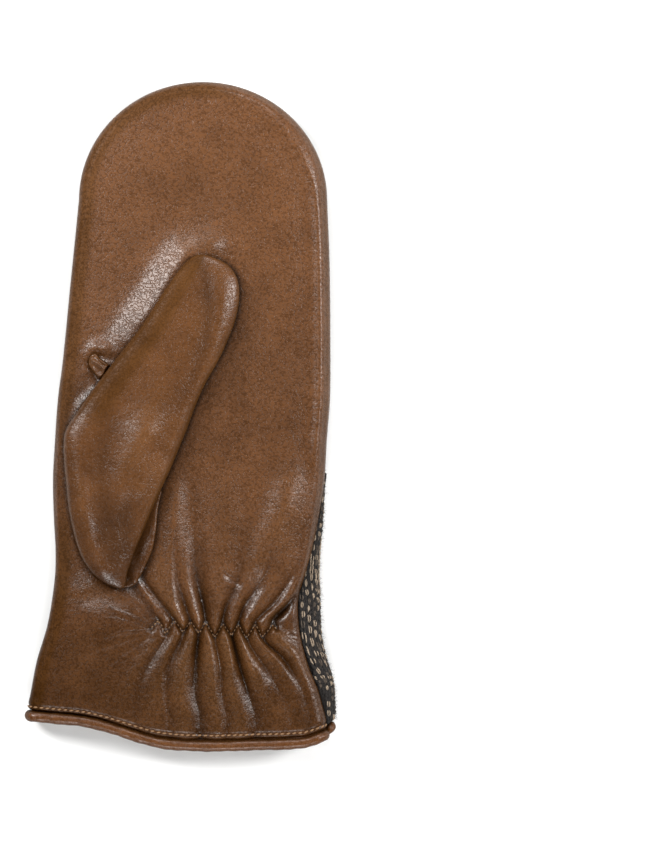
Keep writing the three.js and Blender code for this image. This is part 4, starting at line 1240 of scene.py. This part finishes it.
def makeKnit():
    wales = np.arange(-30, 31)
    courses = np.arange(-8, 150)
    w, c = np.meshgrid(wales, courses, indexing="ij")
    w, c = w.ravel(), c.ravel()
    u, v = w * knit["wale"] - knit["shift"], c * knit["course"]
    place, _, spare, foot = wrapBack(u, v, np.zeros(len(u)))
    left, right = edgeAt(foot[:, 1], "left"), edgeAt(foot[:, 1], "knit")
    drop = hemDrop(place[:, 0], left, right, "back")
    shown = (place[:, 0] > knit["shownX"]) & (foot[:, 1] < knit["shownAlong"])
    nearest = np.where(shown, knit["shownSpare"], knit["hiddenSpare"])
    keep = (spare > nearest) & (v > -drop + knit["hemGap"])
    w, c, u, v, place = w[keep], c[keep], u[keep], v[keep], place[keep]
    seeded = np.random.default_rng(11)
    cream = (c + w % 2) % knit["every"] == 0
    (motifX, motifY), (slopeX, slopeY) = knit["motifAt"], knit["motifSlope"]
    motif = np.abs(w - motifX) * slopeX + np.abs(c - motifY) * slopeY < knit["motifSize"]
    motif = motif & (seeded.random(len(w)) < knit["motifKept"])
    cream = cream | motif
    chance = seeded.random(len(w))
    ash = (cream & (chance < knit["ash"]) & ~motif) | (~cream & (chance < knit["strayAsh"]))
    cream = cream & ~ash & (motif | (chance < knit["cream"]))
    inView = (place[:, 0] > knit["stripX"]) & (v < knit["stripAlong"])
    half = v < knit["half"]

    def yarnLegs(which, sides, steps, stout):
        path = np.linspace(0, 1, steps + 1)[None, None, :]
        hand = np.array([-1, 1])[None, :, None]
        plain = stout == 1
        if plain:
            spread = legs["plainFoot"] + legs["plainSpread"] * path ** 0.8
        else:
            spread = legs["lightFoot"] + legs["lightSpread"] * np.sin(math.pi * path) ** 0.7
        uu = u[which][:, None, None] + hand * knit["wale"] * spread
        climb = knit["course"] * (legs["foot"] + legs["length"] * path)
        vv = v[which][:, None, None] + climb + 0 * hand
        jitter = legs["plainJitter"] if plain else legs["lightJitter"]
        jitter = seeded.normal(0, jitter, uu.shape[:2])[..., None]
        raised = 0 if plain else legs["lightRaised"]
        lift = raised - knit["sink"] - legs["arch"] * (2 * path - legs["archAt"]) ** 2 + 0 * uu
        centre, outward, _, _ = wrapBack(uu + jitter, vv + jitter, lift)
        way = unit(np.gradient(centre, axis=2))
        acrossYarn = unit(np.cross(way, outward))
        up = np.cross(acrossYarn, way)
        uneven = 1 + seeded.normal(0, legs["uneven"], uu.shape[:2])[..., None]
        thin = legs["thin"]
        thick = stout * knit["yarn"] * (thin + (1 - thin) * np.sin(math.pi * path)) * uneven
        angle = around(sides).T
        turned = np.cos(angle) * acrossYarn[..., None, :]
        turned = turned + legs["flat"] * np.sin(angle) * up[..., None, :]
        ring = centre[..., None, :] + thick[..., None, None] * turned
        tubes = ring.reshape(-1, (steps + 1) * sides, 3)
        *sheath, low, high = ringFaces(steps + 1, sides)
        offsets = np.arange(len(tubes)) * tubes.shape[1]
        faces = (np.array(sheath)[None] + offsets[:, None, None]).reshape(-1, 4).tolist()
        for cap in (low, high):
            faces += (np.array(cap)[None] + offsets[:, None]).tolist()
        return tubes.reshape(-1, 3), faces

    parts = (
        ("knitStripCharcoal", inView, 6, 5, 1.0, charcoalWool),
        ("knitStripCream", inView & cream, 6, 5, 0.44, creamWool),
        ("knitStripAsh", inView & ash, 6, 5, 0.48, ashWool),
        ("knitCharcoalLower", ~inView & half, 4, 3, 1.0, charcoalWool),
        ("knitCharcoalUpper", ~inView & ~half, 4, 3, 1.0, charcoalWool),
        ("knitCream", ~inView & cream, 4, 3, 0.5, creamWool),
        ("knitAsh", ~inView & ash, 4, 3, 0.5, ashWool),
    )
    for name, which, sides, steps, stout, wool in parts:
        points, faces = yarnLegs(which, sides, steps, stout)
        points[:, 2] = np.maximum(points[:, 2], 0)
        makeMesh(name, points, faces, wool, "back_panel")


makeKnit()


# The felted inside of the knit, which shows as dark between the stitches
def backSheet():
    rowAlongs = np.concatenate([np.linspace(0, gatherAlong, 24),
        np.linspace(gatherAlong, tipAlong, 60)[1:]])
    side, along, ray = rowsRound(rowAlongs, 60)
    spine, left, right, edgeX, edgeAlong = rowEnds(side, along, ray, "knit")
    reach = np.hypot(edgeX - spine, edgeAlong - along)
    rise = np.where(side > 0, sample(heights, along, "rise"), 0) * loft
    leather = np.where(side > 0, edgeAt(along, "leather"), edgeX)
    rimTurn = (np.linspace(1, 0, 7)[None, :-1]) * math.pi / 2
    turn = np.linspace(0, 1, 8)[None, :] * math.pi / 2
    flats = np.linspace(1, 0, 9)[None, 1:]
    rimX = mix(edgeX, leather, 1 - np.cos(rimTurn))
    rimZ = rollTop + (seamHeight + rise - gap - rollTop) * np.sin(rimTurn)
    offTurn = reach - mitten["backRoll"] * (1 - np.cos(turn))
    offFlat = (reach - mitten["backRoll"]) * flats
    off = np.concatenate([offTurn, offFlat], axis=1)
    x = np.concatenate([rimX, mix(spine, edgeX, off / reach)], axis=1)
    y = np.concatenate([edgeAlong + 0 * rimX, mix(along, edgeAlong, off / reach)], axis=1)
    z = np.concatenate([rimZ, rollTop * (1 - np.sin(turn)) + 0 * reach, 0 * offFlat], axis=1)
    y = np.where(side == 0, y, hemBend(x, along + 0 * x, left, right, "back"))
    points = np.stack([x, y, z], axis=-1)
    return points, gridNormals(points), len(rowAlongs), len(side) - len(rowAlongs)


def makeLining():
    points, up, tipFrom, tipTo = backSheet()
    level = up.copy()
    level[[0, -1], :, 1] = 0
    level = unit(level)
    outer = points + level * 1.15
    inner = points + level * mitten["knitWall"]
    sheet, faces = closedSheet(outer, inner, tipFrom, tipTo)
    makeMesh("knitGround", sheet, [f[::-1] for f in faces], charcoalWool, "back_panel")
    both = resample(np.concatenate([acrossRows(points), -acrossRows(up)], axis=1), 0.9)
    bindingTube("backRoll", both[:, :3], both[:, 3:], binding["thick"], "cuff_binding_back")


makeLining()
print("knitted back made")


# Loose wool fibres along the strip
fibres = {
    "count": 1500,
    "along": (-4, 96), "inset": (-1, 12),  # where their roots lie
    "shadeColour": 0.3,
    "spread": 0.75,
    "length": (0.4, 1.5), "curl": 0.5,
    "radius": 0.05, "tip": 0.4,  # of the radius
}


def makeFuzz():
    seeded = np.random.default_rng(23)
    count, steps = fibres["count"], 4
    v = seeded.uniform(*fibres["along"], count)
    u = edgeAt(v, "knit") + seeded.uniform(*fibres["inset"], count)
    root, out, spare, _ = wrapBack(u, v, np.full(count, -fibres["shadeColour"]))
    keep = spare > 0
    root, out = root[keep], out[keep]
    way = unit(out + seeded.normal(0, fibres["spread"], out.shape))
    curl = unit(seeded.normal(0, 1, out.shape))
    length = seeded.uniform(*fibres["length"], len(root))[:, None]
    path = []
    for k in range(steps + 1):
        t = k / steps
        path.append(root + way * length * t + curl * length * fibres["curl"] * t * t)
    path = np.stack(path, axis=1)
    path[..., 2] = np.maximum(path[..., 2], fibres["radius"])
    tangent = unit(np.gradient(path, axis=1))
    a = unit(np.cross(tangent, np.array([0.3, 0.9, 0.2])))
    b = np.cross(tangent, a)
    thick = fibres["radius"] * np.linspace(1, fibres["tip"], steps + 1)[None, :, None]
    ring = np.stack([path + thick * (math.cos(q) * a + math.sin(q) * b) for q in (0, 2.1, 4.2)], axis=2)
    hairs = ring.reshape(len(root), -1, 3)
    one = ringFaces(steps + 1, 3)
    faces = [[v + i * hairs.shape[1] for v in f] for i in range(len(hairs)) for f in one]
    makeMesh("looseFibres", hairs.reshape(-1, 3), faces, charcoalWool, "back_panel")


makeFuzz()
print("fibres made")


# Floor, light and camera. The floor is board, painted matt: it spreads the light and doesn't shine.
stage = {
    "floorColour": "#f4f4f3",
    "floorHalf": 3,  # metres
    "worldLight": 0.2,
    "eyeDistance": 2600,  # mm above the plane that the photograph's scale is taken at
    "scalePlane": 8,
    "frameX": 327,  # the middle of the photograph
    "frameY": 423,
    "sensor": 24,
    "clipEnd": 20,  # metres
}
lights = {
    "top": {"place": (100, 1550, 1250), "size": (1300, 400), "power": 19},
    "right": {"place": (1400, 330, 1150), "size": (400, 1150), "power": 29},
    "left": {"place": (-1150, 800, 1450), "size": (500, 1100), "power": 35},
    "foot": {"place": (0, -1500, 1100), "size": (1200, 400), "power": 22},
}


def makeStage():
    material, addNode, _ = newMaterial("paintedBoard")
    shader = addNode("BsdfPrincipled", {"Base Color": toLinear(stage["floorColour"]), "Roughness": 0.9})
    addNode("OutputMaterial", {"Surface": shader})
    mesh = bpy.data.meshes.new("floor")
    far = stage["floorHalf"]
    corners = [(-far, -far, 0), (far, -far, 0), (far, far, 0), (-far, far, 0)]
    mesh.from_pydata(corners, [], [(0, 1, 2, 3)])
    mesh.materials.append(material)
    floor = bpy.data.objects.new("floor", mesh)
    bpy.context.scene.collection.objects.link(floor)
    world = bpy.data.worlds.new("studio")
    world.use_nodes = True
    world.node_tree.nodes["Background"].inputs[0].default_value = (1, 1, 1, 1)
    world.node_tree.nodes["Background"].inputs[1].default_value = stage["worldLight"]
    bpy.context.scene.world = world
    for name, light in lights.items():
        data = bpy.data.lights.new(name, "AREA")
        data.shape = "RECTANGLE"
        data.size, data.size_y = light["size"][0] * mm, light["size"][1] * mm
        data.energy = light["power"]
        lamp = bpy.data.objects.new(name, data)
        lamp.location = [v * mm for v in light["place"]]
        lamp.rotation_euler = Vector([-v for v in light["place"]]).to_track_quat("-Z", "Y").to_euler()
        bpy.context.scene.collection.objects.link(lamp)


def makeCamera():
    data = bpy.data.cameras.new("camera")
    camera = bpy.data.objects.new("camera", data)
    x, y = fromPhoto(stage["frameX"], stage["frameY"])
    camera.location = ((x + shiftX) * mm, (y + shiftY) * mm,
        (stage["scalePlane"] + stage["eyeDistance"]) * mm)
    camera.rotation_euler = (0, 0, 0)
    data.sensor_fit = "VERTICAL"
    data.sensor_height = stage["sensor"]
    data.lens = stage["sensor"] * stage["eyeDistance"] / (photo["height"] * photo["mmPerPixel"])
    data.clip_end = stage["clipEnd"]
    bpy.context.scene.collection.objects.link(camera)
    bpy.context.scene.camera = camera
    bpy.context.scene.view_settings.view_transform = "Standard"


makeStage()
makeCamera()
print("stage set")
